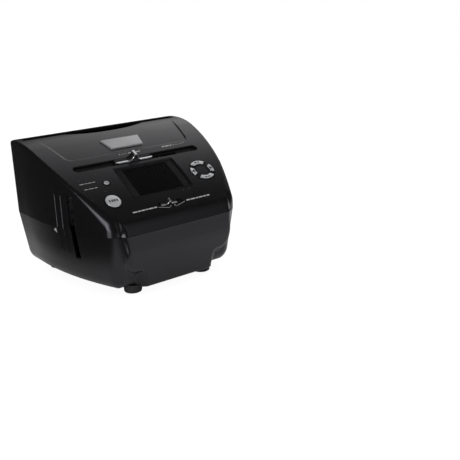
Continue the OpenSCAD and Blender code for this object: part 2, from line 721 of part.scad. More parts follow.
print_hw = print_slot_hl + fit;
print_low_z = 30;                   // a print in its tray stands on a ledge at this height
print_top_z = slot_z - wall - 4;
ledge_t = 2.7;
ledge_hw = print_slot_hl - 15.5;
frame_t = 2;
window_hw = print_slot_hl - 19.5;
window_h = 78;                      // the window shows the whole height of a small print
leg_out = window_hw - 8;
leg_w = 12;
module print_panel(y, thick, window) extrude_y(y, y + thick) difference() {
    low = print_low_z - ledge_t - fit;
    polygon(both_sides([[leg_out - leg_w, low], [leg_out - leg_w, floor_z + eps], [leg_out, floor_z + eps],
        [leg_out, low], [ledge_hw, low], [print_hw - 3.6, print_low_z + 12], [print_hw, seam_z],
        [print_hw, print_top_z]]));
    if (window) translate([-window_hw, print_low_z + 10]) square([2 * window_hw, window_h]);
}

module print_frame() color(satin) {
    print_panel(print_y - frame_t, frame_t, true);
    box([-ledge_hw, print_y - eps, print_low_z - ledge_t - fit],
        [ledge_hw, print_rear - fit, print_low_z - fit]);
}
module print_backing() color(white) print_panel(print_rear, frame_t, false);

print_light_y = print_y - 31.5;     // middle of the upright light strips
print_light_top = 100;
light_count = 5;
light_pitch = 13;
light_size = 3.5;
module print_light() {
    box([window_hw, print_light_y - 7, floor_z + eps],
        [window_hw + board_t, print_light_y + 7, print_light_top]);
    for (i = [0 : light_count - 1]) translate([window_hw - 1, print_light_y, 36 + light_pitch * i])
        translate([0, -light_size / 2, -light_size / 2]) cube([1 + eps, light_size, light_size]);
}
module print_light_right() color(white) print_light();
module print_light_left() color(white) mirror([1, 0, 0]) print_light();

// ---- camera ----

camera_hw = 13;
module camera_board() color(green) {
    y = barrel_y0 - board_t;
    box([-camera_hw, y, film_mid_z - 12], [camera_hw, barrel_y0 - eps, film_mid_z + 8]);
    mirrored_x() box([camera_hw - 5, y, floor_z + eps], [camera_hw, barrel_y0 - eps, film_mid_z - 11]);
}

module lens_barrel() color(satin) translate([0, barrel_y0, film_mid_z]) rotate([-90, 0, 0]) difference() {
    union() {
        cylinder(r = lens_r, h = barrel_y1 - barrel_y0);
        translate([-9, -7, 0]) cube([18, 14, 4]);
    }
    translate([0, 0, 4]) cylinder(r = lens_r - 1.5, h = barrel_y1 - barrel_y0);
}

module camera_lens() color(clear, 0.6) translate([0, barrel_y1 - 5, film_mid_z]) rotate([-90, 0, 0])
    rotate_extrude() polygon([[0, 0], [lens_r - 1.5 - run_fit, 0], [lens_r - 1.5 - run_fit, 1.5],
        for (a = [15 : 15 : 90]) [(lens_r - 1.5 - run_fit) * cos(a), 1.5 + 1.6 * sin(a)]]);

// ---- main board ----

module main_board() color(green) difference() {
    box([-board_hw, board_front, post_z + eps], [board_hw, board_rear, post_z + board_t]);
    mirrored_x() for (at = board_posts) translate([at[0], at[1], post_z - 1])
        cylinder(r = 1.2, h = board_t + 2);
}

module board_screws() color(steel) mirrored_x() for (at = board_posts) translate([at[0], at[1], 0]) {
    translate([0, 0, post_z + board_t + eps]) cylinder(r = 2, h = 1.4);
    translate([0, 0, floor_z + 1]) cylinder(r = 1, h = post_z + board_t - floor_z);
}

module usb_socket() color(steel) translate([usb_x, socket_y, post_z + board_t + eps]) difference() {
    translate([-usb_size[0] / 2, -usb_size[1], 0]) cube(usb_size);
    translate([-usb_size[0] / 2 + 0.5, -usb_size[1] + 1, 0.5])
        cube([usb_size[0] - 1, usb_size[1], usb_size[2] - 1]);
}

module card_socket() color(steel) translate([card_x, socket_y, post_z + board_t + eps]) difference() {
    translate([-card_size[0] / 2, -card_size[1], 0]) cube(card_size);
    translate([-12.2, -card_size[1] + 1.5, 0.4]) cube([24.4, card_size[1], 2.2]);
}

upper_housing();
lower_housing();
rubber_feet();
housing_screws();
name_plate();
display_window();
display_module();
slider_track();
slider_knob();
backlight_carriage();
backlight_diffuser();
backlight_board();
guide_rod();
focus_knob();
focus_lever();
close_up_lens();
scan_button();
power_button();
mode_button();
enter_button();
left_button();
right_button();
left_key_board();
right_key_board();
key_switches();
film_gate_front();
film_gate_rear();
print_frame();
print_backing();
print_light_left();
print_light_right();
camera_board();
lens_barrel();
camera_lens();
main_board();
board_screws();
usb_socket();
card_socket();
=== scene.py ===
import json
import math

import bmesh
import bpy
import numpy as np
from mathutils import Matrix, Quaternion, Vector


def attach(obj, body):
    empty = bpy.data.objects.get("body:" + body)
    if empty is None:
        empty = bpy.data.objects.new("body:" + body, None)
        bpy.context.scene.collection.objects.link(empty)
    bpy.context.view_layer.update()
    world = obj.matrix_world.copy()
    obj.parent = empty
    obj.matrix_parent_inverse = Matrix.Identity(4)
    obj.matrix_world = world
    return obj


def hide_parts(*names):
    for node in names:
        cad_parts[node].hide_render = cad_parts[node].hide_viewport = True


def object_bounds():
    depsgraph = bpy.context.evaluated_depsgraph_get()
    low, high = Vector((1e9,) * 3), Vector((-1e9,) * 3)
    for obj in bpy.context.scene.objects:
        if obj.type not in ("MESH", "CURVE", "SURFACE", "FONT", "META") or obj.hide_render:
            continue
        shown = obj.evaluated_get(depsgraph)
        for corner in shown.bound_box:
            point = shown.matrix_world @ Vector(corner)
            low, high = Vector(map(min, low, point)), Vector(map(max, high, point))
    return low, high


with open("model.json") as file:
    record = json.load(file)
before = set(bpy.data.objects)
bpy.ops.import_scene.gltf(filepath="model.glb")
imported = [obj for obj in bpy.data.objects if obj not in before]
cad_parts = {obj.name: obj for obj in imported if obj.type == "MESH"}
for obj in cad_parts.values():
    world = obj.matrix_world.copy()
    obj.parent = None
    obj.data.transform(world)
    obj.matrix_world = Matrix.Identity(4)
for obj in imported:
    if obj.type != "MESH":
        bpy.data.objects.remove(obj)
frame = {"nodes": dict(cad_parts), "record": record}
nodes = frame["nodes"]
cadLow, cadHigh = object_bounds()
mm = 0.001
mainBody = "scanner"
scene = bpy.context.scene
print("frame loaded:", len(nodes), "nodes")


def linked(name, data):
    made = bpy.data.objects.new(name, data)
    scene.collection.objects.link(made)
    return made


cameraValues = {
    "lens": 57.99,  # on a 36 mm sensor
    "place": (-361.0, -610.4, 271.3),
    "azimuth": 37.945,
    "elevation": 18.496,
    "roll": -1.72,
}


def makeCamera(values):
    azimuth, elevation = math.radians(values["azimuth"]), math.radians(values["elevation"])
    aim = Vector((math.sin(azimuth) * math.cos(elevation),
                  math.cos(azimuth) * math.cos(elevation), -math.sin(elevation)))
    data = bpy.data.cameras.new("viewCamera")
    data.lens = values["lens"]
    data.sensor_width = 36
    camera = linked("viewCamera", data)
    camera.rotation_mode = "QUATERNION"
    roll = Quaternion((0, 0, 1), math.radians(values["roll"]))
    camera.rotation_quaternion = aim.to_track_quat("-Z", "Y") @ roll
    camera.location = Vector(values["place"]) * mm
    scene.camera = camera


makeCamera(cameraValues)


def shift(x, y, z):
    return Matrix.Translation((x, y, z))


def spin(angle, axis):
    return Matrix.Rotation(angle, 4, axis)


halfWidth = cadHigh.x / mm
halfDepth = cadHigh.y / mm

# forms of the housings, in millimetres
shell = {
    "seam": 63,  # height of the joint between the two housings
    "bandHeight": 8,
    "crownHeight": 129.2,  # height of the panel where its crown begins
    "crownLength": 47,  # from there to the back wall
    "panelRadius": 350,
    "crownRadius": 90,
    "sideRadius": 275,
    "sideStart": 27,  # straight length of the sides, from the back
    "cheekRound": 8,
    "crispRound": 2.6,  # edge of the panel along the sides and the back
    "crispFrom": 32,
    "bandRound": 3,
    "bandLean": 4,  # the front band leans back by this much up to its crease
    "cheekStep": 5,  # how far the cheeks stand behind the band
    "cheekBlend": 4,  # width over which the band's edge turns into the cheeks'
    "cheekReach": 10,
    "blockBulge": 2,
    "blockHalf": 59.5,
    "blockBack": -30,
    "blockCorner": 5,
    "blockTaper": 3,  # narrowing of the block from the seam to the shoulder
    "blockUnder": 0.26,  # slope of the front under its bulge
    "bulge": 45,  # height of the bulge
    "bulgeRound": 1.5,
    "notchFillet": 2.6,
    "shoulder": 26,
    "shoulderRound": 12,
    "footHalf": 41,
    "footTaper": 2,
    "footFillet": 3,
    "footRound": 2.5,
    "base": 8,
    "lean": 0.15,  # slope of the lower sides
    "bilge": 13,
    "wall": 2.5,
    "net": 1.1,  # mesh size of the skin
    "hollowNet": 3.0,
    "hullFillet": 6,
    "seamGap": 0.25,
}
bandY = shell["blockBulge"] - halfDepth
cheekY = bandY + shell["cheekStep"]
printY = halfDepth - 20.5  # front edge of the print slot
bandZ = shell["seam"] + shell["bandHeight"]
crownY, crownZ = halfDepth - shell["crownLength"], shell["crownHeight"]


def archCentre():
    alongY, alongZ = crownY - bandY, crownZ - bandZ
    length = math.hypot(alongY, alongZ)
    rise = math.sqrt(shell["panelRadius"] ** 2 - length * length / 4)
    return (crownY + bandY) / 2 + alongZ / length * rise, (crownZ + bandZ) / 2 - alongY / length * rise


archY, archZ = archCentre()
crownShare = shell["crownRadius"] / shell["panelRadius"]
tightY, tightZ = crownY + (archY - crownY) * crownShare, crownZ + (archZ - crownZ) * crownShare


def panelArc(y):
    if y > crownY:
        return tightY, tightZ, shell["crownRadius"]
    return archY, archZ, shell["panelRadius"]


def panelZ(y, depth=0.0):
    middleY, middleZ, radius = panelArc(y)
    return middleZ + math.sqrt((radius - depth) ** 2 - (y - middleY) ** 2)


bandSlope = shell["bandLean"] / (panelZ(bandY + shell["bandLean"]) - shell["seam"])


def panelPlace(x, y):
    middleY, middleZ, radius = panelArc(y)
    return shift(x, y, panelZ(y)) @ spin(math.asin((middleY - y) / radius), "X")


def panelGap(y, z):  # distance from the panel, less than 0 inside
    behind = (y - archY) * (crownZ - archZ) > (z - archZ) * (crownY - archY)
    return np.where(behind, np.hypot(y - tightY, z - tightZ) - shell["crownRadius"],
                    np.hypot(y - archY, z - archZ) - shell["panelRadius"])


def sideX(y):
    behind = np.maximum(halfDepth - shell["sideStart"] - y, 0)
    return halfWidth - behind * behind / (2 * shell["sideRadius"])


def sidePlace(side, y, z, lean=0.0):
    turn = math.atan2(halfDepth - shell["sideStart"] - y, shell["sideRadius"])
    x = float(sideX(y)) - (shell["seam"] - z) * lean
    facing = spin(side * math.pi / 2, "Z") @ spin(math.pi / 2, "X")
    return (shift(side * x, y, z) @ spin(-side * turn, "Z")
            @ spin(side * math.atan(lean), "Y") @ facing)


def ramp(t):
    t = np.clip(t, 0, 1)
    return t * t * (3 - 2 * t)


def roundMax(a, b, radius):  # meeting of two solids, with a round edge
    return (np.minimum(np.maximum(a, b), -radius)
            + np.hypot(np.maximum(a + radius, 0), np.maximum(b + radius, 0)))


def roundMin(a, b, radius):  # join of two solids, with a fillet
    return -roundMax(-a, -b, radius)


def softMax(a, b, width):
    near = np.maximum(width - np.abs(a - b), 0) / width
    return np.maximum(a, b) + near * near * width / 4


fieldValues = {"front": 4.5, "half": 67.5, "flare": 0.235, "corner": 6, "back": 52.5, "fade": 20,
               "sink": 0.65, "slope": 1.6}


def fieldDepth(x, y):  # shallow field behind the groove, which fades toward the print slot
    v = fieldValues
    sides = (np.abs(x) - v["half"] - v["flare"] * (y - v["front"])) / math.hypot(1, v["flare"])
    outline = roundMax(sides, v["front"] - y, v["corner"])
    return v["sink"] * ramp(-outline / v["slope"]) * ramp((v["back"] - y) / v["fade"])


def upperForm(x, y, z):
    v = shell
    hull = roundMax(np.abs(x) - sideX(y), np.maximum(cheekY - y, y - halfDepth), v["cheekRound"])
    front = (bandY + (z - v["seam"]) * bandSlope - y) / math.hypot(1, bandSlope)
    block = roundMax(np.abs(x) - v["blockHalf"], front, v["blockCorner"])
    plan = roundMin(hull, np.maximum(block, y - v["blockBack"]), v["notchFillet"])
    panel = panelGap(y, z) + fieldDepth(x, y)
    beside = ramp((np.abs(x) - v["blockHalf"] + v["cheekBlend"] / 2) / v["cheekBlend"])
    cheek = np.maximum(beside, ramp((y - cheekY) / v["cheekReach"]))
    softer = np.clip(1 - (y - cheekY - v["cheekRound"]) / v["crispFrom"], 0, 1)
    crease = v["crispRound"] + (v["cheekRound"] - v["crispRound"]) * softer
    return roundMax(plan, panel, v["bandRound"] + (crease - v["bandRound"]) * cheek)


def lowerForm(x, y, z):
    v = shell
    drop = v["seam"] - z
    slant = math.hypot(1, v["lean"])
    side = (np.abs(x) - sideX(y) + drop * v["lean"]) / slant
    front = (cheekY + drop * v["lean"] - y) / slant
    hull = roundMax(roundMax(side, front, v["cheekRound"]), v["base"] - z, v["bilge"])
    hull = roundMax(hull, y - halfDepth, v["cheekRound"])
    taper = v["blockTaper"] * drop / (v["seam"] - v["shoulder"])
    wide = roundMax(np.abs(x) - v["blockHalf"] + taper, v["shoulder"] - z, v["shoulderRound"])
    taper = v["footTaper"] * (v["shoulder"] - z) / (v["shoulder"] - v["base"])
    outline = roundMin(wide, np.abs(x) - v["footHalf"] + taper, v["footFillet"])
    high = (z - v["bulge"]) * v["blockBulge"] / (v["seam"] - v["bulge"]) - halfDepth - y
    low = (v["bulge"] - z) * v["blockUnder"] - halfDepth - y
    block = roundMax(outline, softMax(high, low, v["bulgeRound"]), v["blockCorner"])
    block = roundMax(block, v["base"] - z, v["footRound"])
    return roundMin(hull, np.maximum(block, y - v["blockBack"]), v["hullFillet"])


def slopeOf(form, points, reach=0.02):
    slopes = np.empty_like(points)
    for axis in range(3):
        ahead, behind = points.copy(), points.copy()
        ahead[:, axis] += reach
        behind[:, axis] -= reach
        slopes[:, axis] = (form(*ahead.T) - form(*behind.T)) / (2 * reach)
    return slopes


def addObject(name, vertices, faces):
    mesh = bpy.data.meshes.new(name)
    mesh.from_pydata([tuple(v) for v in vertices], [], faces)
    mesh.update()
    return linked(name, mesh)


def netSurface(name, form, low, high, step):
    # one quad for each grid edge that the surface crosses, then drawn onto the surface
    def turned(values, axis):
        return np.moveaxis(values, (axis, (axis + 1) % 3, (axis + 2) % 3), (0, 1, 2))

    axes = [np.arange(low[i], high[i] + step, step) for i in range(3)]
    grid = np.stack(np.meshgrid(*axes, indexing="ij"), -1)
    value = form(grid[..., 0], grid[..., 1], grid[..., 2])
    cells = tuple(n - 1 for n in value.shape)
    total, count = np.zeros(cells + (3,)), np.zeros(cells)
    crossings = []
    for axis in range(3):
        start, spot = turned(value, axis), turned(grid, axis)
        sums, counts = turned(total, axis), turned(count, axis)
        a, b = start[:-1], start[1:]
        crossed = (a < 0) != (b < 0)
        share = np.where(crossed, a / np.where(crossed, a - b, 1), 0)[..., None]
        place = (spot[:-1] * (1 - share) + spot[1:] * share) * crossed[..., None]
        crossings.append((crossed, a < 0))
        wide, high = counts.shape[1:]
        for du, dv in ((0, 0), (0, 1), (1, 0), (1, 1)):
            window = (slice(None), slice(du, du + wide), slice(dv, dv + high))
            sums += place[window]
            counts += crossed[window]
    active = count > 0
    index = np.full(cells, -1)
    index[active] = np.arange(active.sum())
    points = total[active] / count[active][:, None]
    faces = []
    for axis in range(3):
        crossed, outward = crossings[axis]
        inner = turned(index, axis)
        where = np.argwhere(crossed[:, 1:-1, 1:-1])
        i, j, k = where[:, 0], where[:, 1], where[:, 2]
        around = ((0, 0), (1, 0), (1, 1), (0, 1))
        quad = np.stack([inner[i, j + dj, k + dk] for dj, dk in around], 1)
        facing = outward[:, 1:-1, 1:-1][i, j, k]
        faces.append(np.where(facing[:, None], quad, quad[:, ::-1]))
    for repeat in range(4):
        slopes = slopeOf(form, points)
        size = np.maximum((slopes ** 2).sum(1), 0.05)
        points = points - slopes * (form(*points.T) / size)[:, None]
    return addObject(name, points * mm, np.concatenate(faces).tolist())


def prism(name, outline, levels, place=Matrix()):
    # rings of one outline at several heights, each grown or shrunk by its own amount
    points = [Vector(p) for p in outline]
    total = len(points)
    corners = []
    for i, point in enumerate(points):
        before = (point - points[i - 1]).normalized()
        after = (points[(i + 1) % total] - point).normalized()
        across = Vector((before.y + after.y, -before.x - after.x)).normalized()
        corners.append(across / max(0.5, across.dot(Vector((before.y, -before.x)))))
    vertices = []
    for height, grow in levels:
        for point, corner in zip(points, corners):
            flat = point + corner * grow
            vertices.append(place @ Vector((flat.x, flat.y, height)) * mm)
    faces = [list(range(total))[::-1]]
    for ring in range(len(levels) - 1):
        first = ring * total
        for i in range(total):
            j = (i + 1) % total
            faces.append([first + i, first + j, first + total + j, first + total + i])
    faces.append([(len(levels) - 1) * total + i for i in range(total)])
    return addObject(name, vertices, faces)


def lathe(name, profile, place=Matrix(), steps=64):
    # a closed turned solid, with its profile from the lower pole to the upper one
    vertices = [place @ Vector((0, 0, profile[0][1])) * mm]
    for radius, height in profile[1:-1]:
        for i in range(steps):
            angle = 2 * math.pi * i / steps
            x, y = radius * math.cos(angle), radius * math.sin(angle)
            vertices.append(place @ Vector((x, y, height)) * mm)
    vertices.append(place @ Vector((0, 0, profile[-1][1])) * mm)
    last = len(vertices) - 1
    faces = []
    for i in range(steps):
        j = (i + 1) % steps
        faces.append([0, 1 + j, 1 + i])
        for ring in range(len(profile) - 3):
            first = 1 + ring * steps
            faces.append([first + i, first + j, first + steps + j, first + steps + i])
        faces.append([last - steps + i, last - steps + j, last])
    return addObject(name, vertices, faces)


def arc(centre, radius, start, end, steps):
    angles = [math.radians(start + (end - start) * i / steps) for i in range(steps + 1)]
    return [(centre[0] + radius * math.cos(a), centre[1] + radius * math.sin(a)) for a in angles]


def disc(radius, steps=64):
    return arc((0, 0), radius, 0, 360, steps)[:-1]


def stadium(halfLength, width, steps=24):
    return (arc((halfLength, 0), width / 2, -90, 90, steps)
            + arc((-halfLength, 0), width / 2, 90, 270, steps))


def turnCorner(start, here, end, steps):
    shares = [step / steps for step in range(steps + 1)]
    return [tuple(start * (1 - t) ** 2 + here * (2 * t * (1 - t)) + end * t * t) for t in shares]


def roundCorners(points, radius, steps=6):
    rounded = []
    for i, point in enumerate(points):
        here = Vector(point)
        back, ahead = Vector(points[i - 1]) - here, Vector(points[(i + 1) % len(points)]) - here
        half = back.angle(ahead) / 2
        reach = min(radius / math.tan(half), back.length * 0.45, ahead.length * 0.45)
        start, end = here + back.normalized() * reach, here + ahead.normalized() * reach
        rounded += turnCorner(start, here, end, steps)
    return rounded


def rectangle(width, height, radius=0.0):
    x, y = width / 2, height / 2
    corners = [(-x, -y), (x, -y), (x, y), (-x, y)]
    return roundCorners(corners, radius) if radius else corners


def applied(made):
    graph = bpy.context.evaluated_depsgraph_get()
    mesh = bpy.data.meshes.new_from_object(made.evaluated_get(graph))
    made.modifiers.clear()
    made.data = mesh


def splitFaces(made):  # a cut through a face of many corners can close over a hole
    builder = bmesh.new()
    builder.from_mesh(made.data)
    bmesh.ops.triangulate(builder, faces=[face for face in builder.faces if len(face.verts) > 4])
    builder.to_mesh(made.data)
    builder.free()


def combine(solid, tools, operation="DIFFERENCE"):
    splitFaces(solid)
    for tool in tools:
        splitFaces(tool)
        step = solid.modifiers.new(tool.name, "BOOLEAN")
        step.operation = operation
        step.solver = "MANIFOLD"
        step.object = tool
    applied(solid)
    for tool in tools:
        bpy.data.objects.remove(tool)


def joined(name, parts):
    builder = bmesh.new()
    for part in parts:
        builder.from_mesh(part.data)
        bpy.data.objects.remove(part)
    mesh = bpy.data.meshes.new(name)
    builder.to_mesh(mesh)
    builder.free()
    return linked(name, mesh)


def shadeSmooth(made, angle=32, flatCaps=False):
    mesh = made.data
    mesh.polygons.foreach_set("use_smooth", [not (flatCaps and len(p.vertices) > 4) for p in mesh.polygons])
    mesh.set_sharp_from_angle(angle=math.radians(angle))
    return made


def readAll(items, key, kind=float, width=3):
    values = np.empty(len(items) * width, kind)
    items.foreach_get(key, values)
    return values.reshape(-1, width)


def shadeByForm(made, form, match=0.88):  # normals of the true surface, where a face lies on it
    mesh = shadeSmooth(made).data
    slopes = slopeOf(form, readAll(mesh.vertices, "co") / mm)
    slopes /= np.maximum(np.linalg.norm(slopes, axis=1), 1e-6)[:, None]
    slopes = slopes[readAll(mesh.loops, "vertex_index", np.int32, 1)[:, 0]]
    sizes = readAll(mesh.polygons, "loop_total", np.int32, 1)[:, 0]
    faceNormals = np.repeat(readAll(mesh.polygons, "normal"), sizes, axis=0)
    onSurface = (faceNormals * slopes).sum(1) > match
    corners = readAll(mesh.corner_normals, "vector")
    mesh.normals_split_custom_set(np.where(onSurface[:, None], slopes, corners).tolist())


def paint(piece, slot):
    piece.data.materials.clear()
    piece.data.materials.append(finishes[slot])


def finished(piece, slot, body, *replaced):
    paint(piece, slot)
    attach(piece, body)
    if replaced:
        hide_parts(*replaced)


def shaderGroup(name, inputs, outputs):
    tree = bpy.data.node_groups.new(name, "ShaderNodeTree")
    for label, value in inputs.items():
        socket = tree.interface.new_socket(label, in_out="INPUT", socket_type="NodeSocketFloat")
        socket.default_value = value
    for label in outputs:
        tree.interface.new_socket(label, in_out="OUTPUT", socket_type="NodeSocketFloat")
    return tree, tree.nodes.new("NodeGroupInput"), tree.nodes.new("NodeGroupOutput")


nodePrefix = {"SHADER": "ShaderNode", "GEOMETRY": "GeometryNode"}


def fill(node, inputs):  # a socket is linked and a value is set
    for key, value in inputs.items():
        socket = node.inputs[key]
        if isinstance(value, bpy.types.NodeSocket):
            node.id_data.links.new(value, socket)
        else:
            socket.default_value = (*value, 1) if socket.type == "RGBA" else value


def closeGroup(target, **results):
    fill(target, results)
    return target.id_data


def addNode(tree, kind, inputs=None, **settings):
    node = tree.nodes.new(nodePrefix[tree.type] + kind)
    for key, value in settings.items():
        setattr(node, key, value)
    fill(node, inputs or {})
    return node


def mathNode(tree, operation, first, second=0.0):
    return addNode(tree, "Math", {0: first, 1: second}, operation=operation).outputs[0]


def mapRange(tree, value, low, high, first=0.0, last=1.0, **settings):
    inputs = {"Value": value, "From Min": low, "From Max": high, "To Min": first, "To Max": last}
    return addNode(tree, "MapRange", inputs, **settings).outputs[0]


def objectSpot(tree):
    return addNode(tree, "TexCoord").outputs["Object"]


def noise(tree, spot, scale, detail):
    return addNode(tree, "TexNoise", {"Vector": spot, "Scale": scale, "Detail": detail}).outputs[0]


def grainGroup():  # fine moulded texture
    tree, source, target = shaderGroup("mouldGrain", {"Scale": 900.0, "Broad": 25.0}, ["Fine", "Smudge"])
    spot = objectSpot(tree)
    fine = noise(tree, spot, source.outputs["Scale"], 3.0)
    return closeGroup(target, Fine=fine, Smudge=noise(tree, spot, source.outputs["Broad"], 4.0))


def dustGroup():  # specks that lie on what faces up
    tree, source, target = shaderGroup("dustSpecks", {"Scale": 420.0, "Amount": 0.16}, ["Mask"])
    cells = addNode(tree, "TexVoronoi", {"Vector": objectSpot(tree), "Scale": source.outputs["Scale"]})
    chosen = addNode(tree, "SeparateColor", {0: cells.outputs["Color"]}).outputs[0]
    size = mathNode(tree, "MULTIPLY", mathNode(tree, "POWER", chosen, 6.0), source.outputs["Amount"])
    speck = mathNode(tree, "LESS_THAN", cells.outputs["Distance"], size)
    normal = addNode(tree, "SeparateXYZ", {0: addNode(tree, "NewGeometry").outputs["Normal"]})
    upward = mapRange(tree, normal.outputs[2], 0.2, 0.7)
    return closeGroup(target, Mask=mathNode(tree, "MULTIPLY", speck, upward))


def wearAndHighlightGroup():  # rubbed edges, and a painted highlight along sharp edges
    tree, source, target = shaderGroup("rubbedAndHighlitEdges", {"Scale": 160.0, "Start": 0.54, "End": 0.62}, ["Mask"])
    # painted highlight as well as wear: sharp convex edges get a lighter colour
    sharp = addNode(tree, "NewGeometry").outputs["Pointiness"]
    edge = mapRange(tree, sharp, source.outputs["Start"], source.outputs["End"])
    wornAndHighlit = mapRange(tree, noise(tree, objectSpot(tree), source.outputs["Scale"], 5.0), 0.42, 0.62)
    return closeGroup(target, Mask=mathNode(tree, "MULTIPLY", edge, wornAndHighlit))


def brushGroup():  # fine parallel lines along X
    tree, source, target = shaderGroup("brushedLines", {"Scale": 60.0}, ["Lines"])
    stretch = addNode(tree, "Mapping", {"Vector": objectSpot(tree), "Scale": (1.0, 60.0, 60.0)})
    return closeGroup(target, Lines=noise(tree, stretch.outputs[0], source.outputs["Scale"], 4.0))


groups = {"grain": grainGroup(), "dust": dustGroup(), "wearAndHighlight": wearAndHighlightGroup(), "brush": brushGroup()}


def placeGroup(tree, name, **values):
    return addNode(tree, "Group", values, node_tree=groups[name])


def mixColor(tree, share, first, second):
    return addNode(tree, "Mix", {0: share, 6: first, 7: second}, data_type="RGBA").outputs[2]


def newMaterial(name):
    made = bpy.data.materials.new(name)
    made.use_nodes = True
    return made, made.node_tree, made.node_tree.nodes["Principled BSDF"]


coatShares = {"wearAndHighlight": (0.6, 0.15), "dust": (0.5, 0.4)}  # share of its colour, and added roughness
dustColor = (0.35, 0.34, 0.32)


def coated(tree, mask, effect, color, rough, coatColor):
    share, dull = coatShares[effect]
    color = mixColor(tree, mathNode(tree, "MULTIPLY", mask, share), color, coatColor)
    return color, mathNode(tree, "ADD", rough, mathNode(tree, "MULTIPLY", mask, dull))


def makeFinish(name, look):
    made, tree, shader = newMaterial(name)
    grain = placeGroup(tree, "grain", Scale=look["grain"])
    color = mixColor(tree, grain.outputs["Smudge"], look["color"], look.get("shade", look["color"]))
    rough = mapRange(tree, grain.outputs["Smudge"], 0.3, 0.7, *look["rough"])
    height = grain.outputs["Fine"]
    if "brushed" in look:
        lines = placeGroup(tree, "brush", Scale=look["brushed"]).outputs["Lines"]
        height = mathNode(tree, "ADD", height, lines)
        rough = mathNode(tree, "MULTIPLY", rough, mathNode(tree, "ADD", lines, 0.6))
    # edges take the edge colour: rubbed wear and a painted edge highlight together
    if "wearAndHighlight" in look:
        wornAndHighlit = placeGroup(tree, "wearAndHighlight").outputs["Mask"]
        color, rough = coated(tree, wornAndHighlit, "wearAndHighlight", color, rough, look["wearAndHighlight"])
    if "dust" in look:
        specks = placeGroup(tree, "dust", Amount=look["dust"]).outputs["Mask"]
        color, rough = coated(tree, specks, "dust", color, rough, dustColor)
    bump = addNode(tree, "Bump", {"Height": height, "Strength": look["bump"], "Distance": 0.0002})
    fill(shader, {"Base Color": color, "Roughness": rough, "Normal": bump.outputs[0],
                  "Specular Tint": look.get("tint", (1, 1, 1)), "Metallic": look.get("metal", 0.0),
                  "IOR": look.get("ior", 1.5), "Alpha": look.get("alpha", 1.0),
                  "Transmission Weight": look.get("clear", 0.0)})
    return made


looks = {
    # gloss_black's edge colour is lighter than its body: rubbed wear and painted edge highlight
    "gloss_black": {"color": (0.004, 0.004, 0.0044), "shade": (0.0055, 0.0055, 0.006), "rough": (0.21, 0.25),
                    "grain": 1400, "bump": 0.04, "wearAndHighlight": (0.03, 0.03, 0.033), "dust": 0.12,
                    "tint": (0.93, 0.92, 1.0)},
    "satin_black": {"color": (0.006, 0.006, 0.0066), "shade": (0.009, 0.009, 0.0096), "rough": (0.42, 0.55),
                    "grain": 1500, "bump": 0.25, "ior": 1.35},
    "chrome_silver": {"color": (0.74, 0.75, 0.77), "shade": (0.68, 0.69, 0.71), "rough": (0.16, 0.26),
                      "grain": 1800, "bump": 0.04, "metal": 1},
    "key_silver": {"color": (0.77, 0.78, 0.80), "shade": (0.68, 0.69, 0.71), "rough": (0.30, 0.42),
                   "grain": 2600, "bump": 0.10, "metal": 0.6, "wearAndHighlight": (0.75, 0.75, 0.76)},
    "plate_silver": {"color": (0.50, 0.50, 0.51), "shade": (0.42, 0.42, 0.43), "rough": (0.34, 0.42),
                     "grain": 2600, "bump": 0.06, "metal": 0.7, "brushed": 60},
    "clear_window": {"color": (0.004, 0.004, 0.005), "rough": (0.05, 0.08), "grain": 300, "bump": 0,
                     "alpha": 0.14, "ior": 1.45},
    "lcd_dark": {"color": (0.0012, 0.0013, 0.0016), "shade": (0.0018, 0.0019, 0.0023), "rough": (0.5, 0.55),
                 "grain": 900, "bump": 0.02, "ior": 1.02},
    "rubber_black": {"color": (0.020, 0.020, 0.021), "shade": (0.030, 0.030, 0.031), "rough": (0.65, 0.8),
                     "grain": 1200, "bump": 0.5},
    "bright_steel": {"color": (0.56, 0.57, 0.58), "shade": (0.48, 0.49, 0.5), "rough": (0.25, 0.4),
                     "grain": 1800, "bump": 0.1, "metal": 1, "brushed": 90},
    "board_green": {"color": (0.02, 0.14, 0.06), "shade": (0.015, 0.10, 0.045), "rough": (0.35, 0.5),
                    "grain": 700, "bump": 0.2},
    "diffuser_white": {"color": (0.80, 0.81, 0.80), "shade": (0.74, 0.75, 0.74), "rough": (0.45, 0.6),
                       "grain": 1200, "bump": 0.1},
    "mark_white": {"color": (0.42, 0.42, 0.42), "shade": (0.36, 0.36, 0.36), "rough": (0.45, 0.6),
                   "grain": 2200, "bump": 0.05},
    "mark_dark": {"color": (0.025, 0.025, 0.027), "shade": (0.04, 0.04, 0.042), "rough": (0.45, 0.6),
                  "grain": 2200, "bump": 0.05},
    "lens_clear": {"color": (0.9, 0.94, 0.97), "rough": (0.01, 0.03), "grain": 300, "bump": 0,
                   "clear": 1, "ior": 1.6},
}
finishes = {slot: makeFinish(slot, look) for slot, look in looks.items()}
for subpart in frame["record"]["subparts"]:
    paint(nodes[subpart["node"]], subpart["material_slot"])
print("finishes made:", len(finishes))


def copiesTree():
    tree = bpy.data.node_groups.new("placedCopies", "GeometryNodeTree")
    kinds = {"Geometry": "Geometry", "Copy": "Object", "Size": "Float", "Finish": "Material"}
    for label, kind in kinds.items():
        tree.interface.new_socket(label, in_out="INPUT", socket_type="NodeSocket" + kind)
    tree.interface.new_socket("Geometry", in_out="OUTPUT", socket_type="NodeSocketGeometry")
    source, target = tree.nodes.new("NodeGroupInput"), tree.nodes.new("NodeGroupOutput")
    single = addNode(tree, "ObjectInfo", {"Object": source.outputs["Copy"]}).outputs["Geometry"]
    points = {"Points": source.outputs["Geometry"], "Instance": single, "Scale": source.outputs["Size"]}
    placed = addNode(tree, "InstanceOnPoints", points).outputs[0]
    solid = addNode(tree, "RealizeInstances", {"Geometry": placed}).outputs[0]
    done = addNode(tree, "SetMaterial", {"Geometry": solid, "Material": source.outputs["Finish"]})
    return closeGroup(target, Geometry=done.outputs[0])


placedCopies = copiesTree()


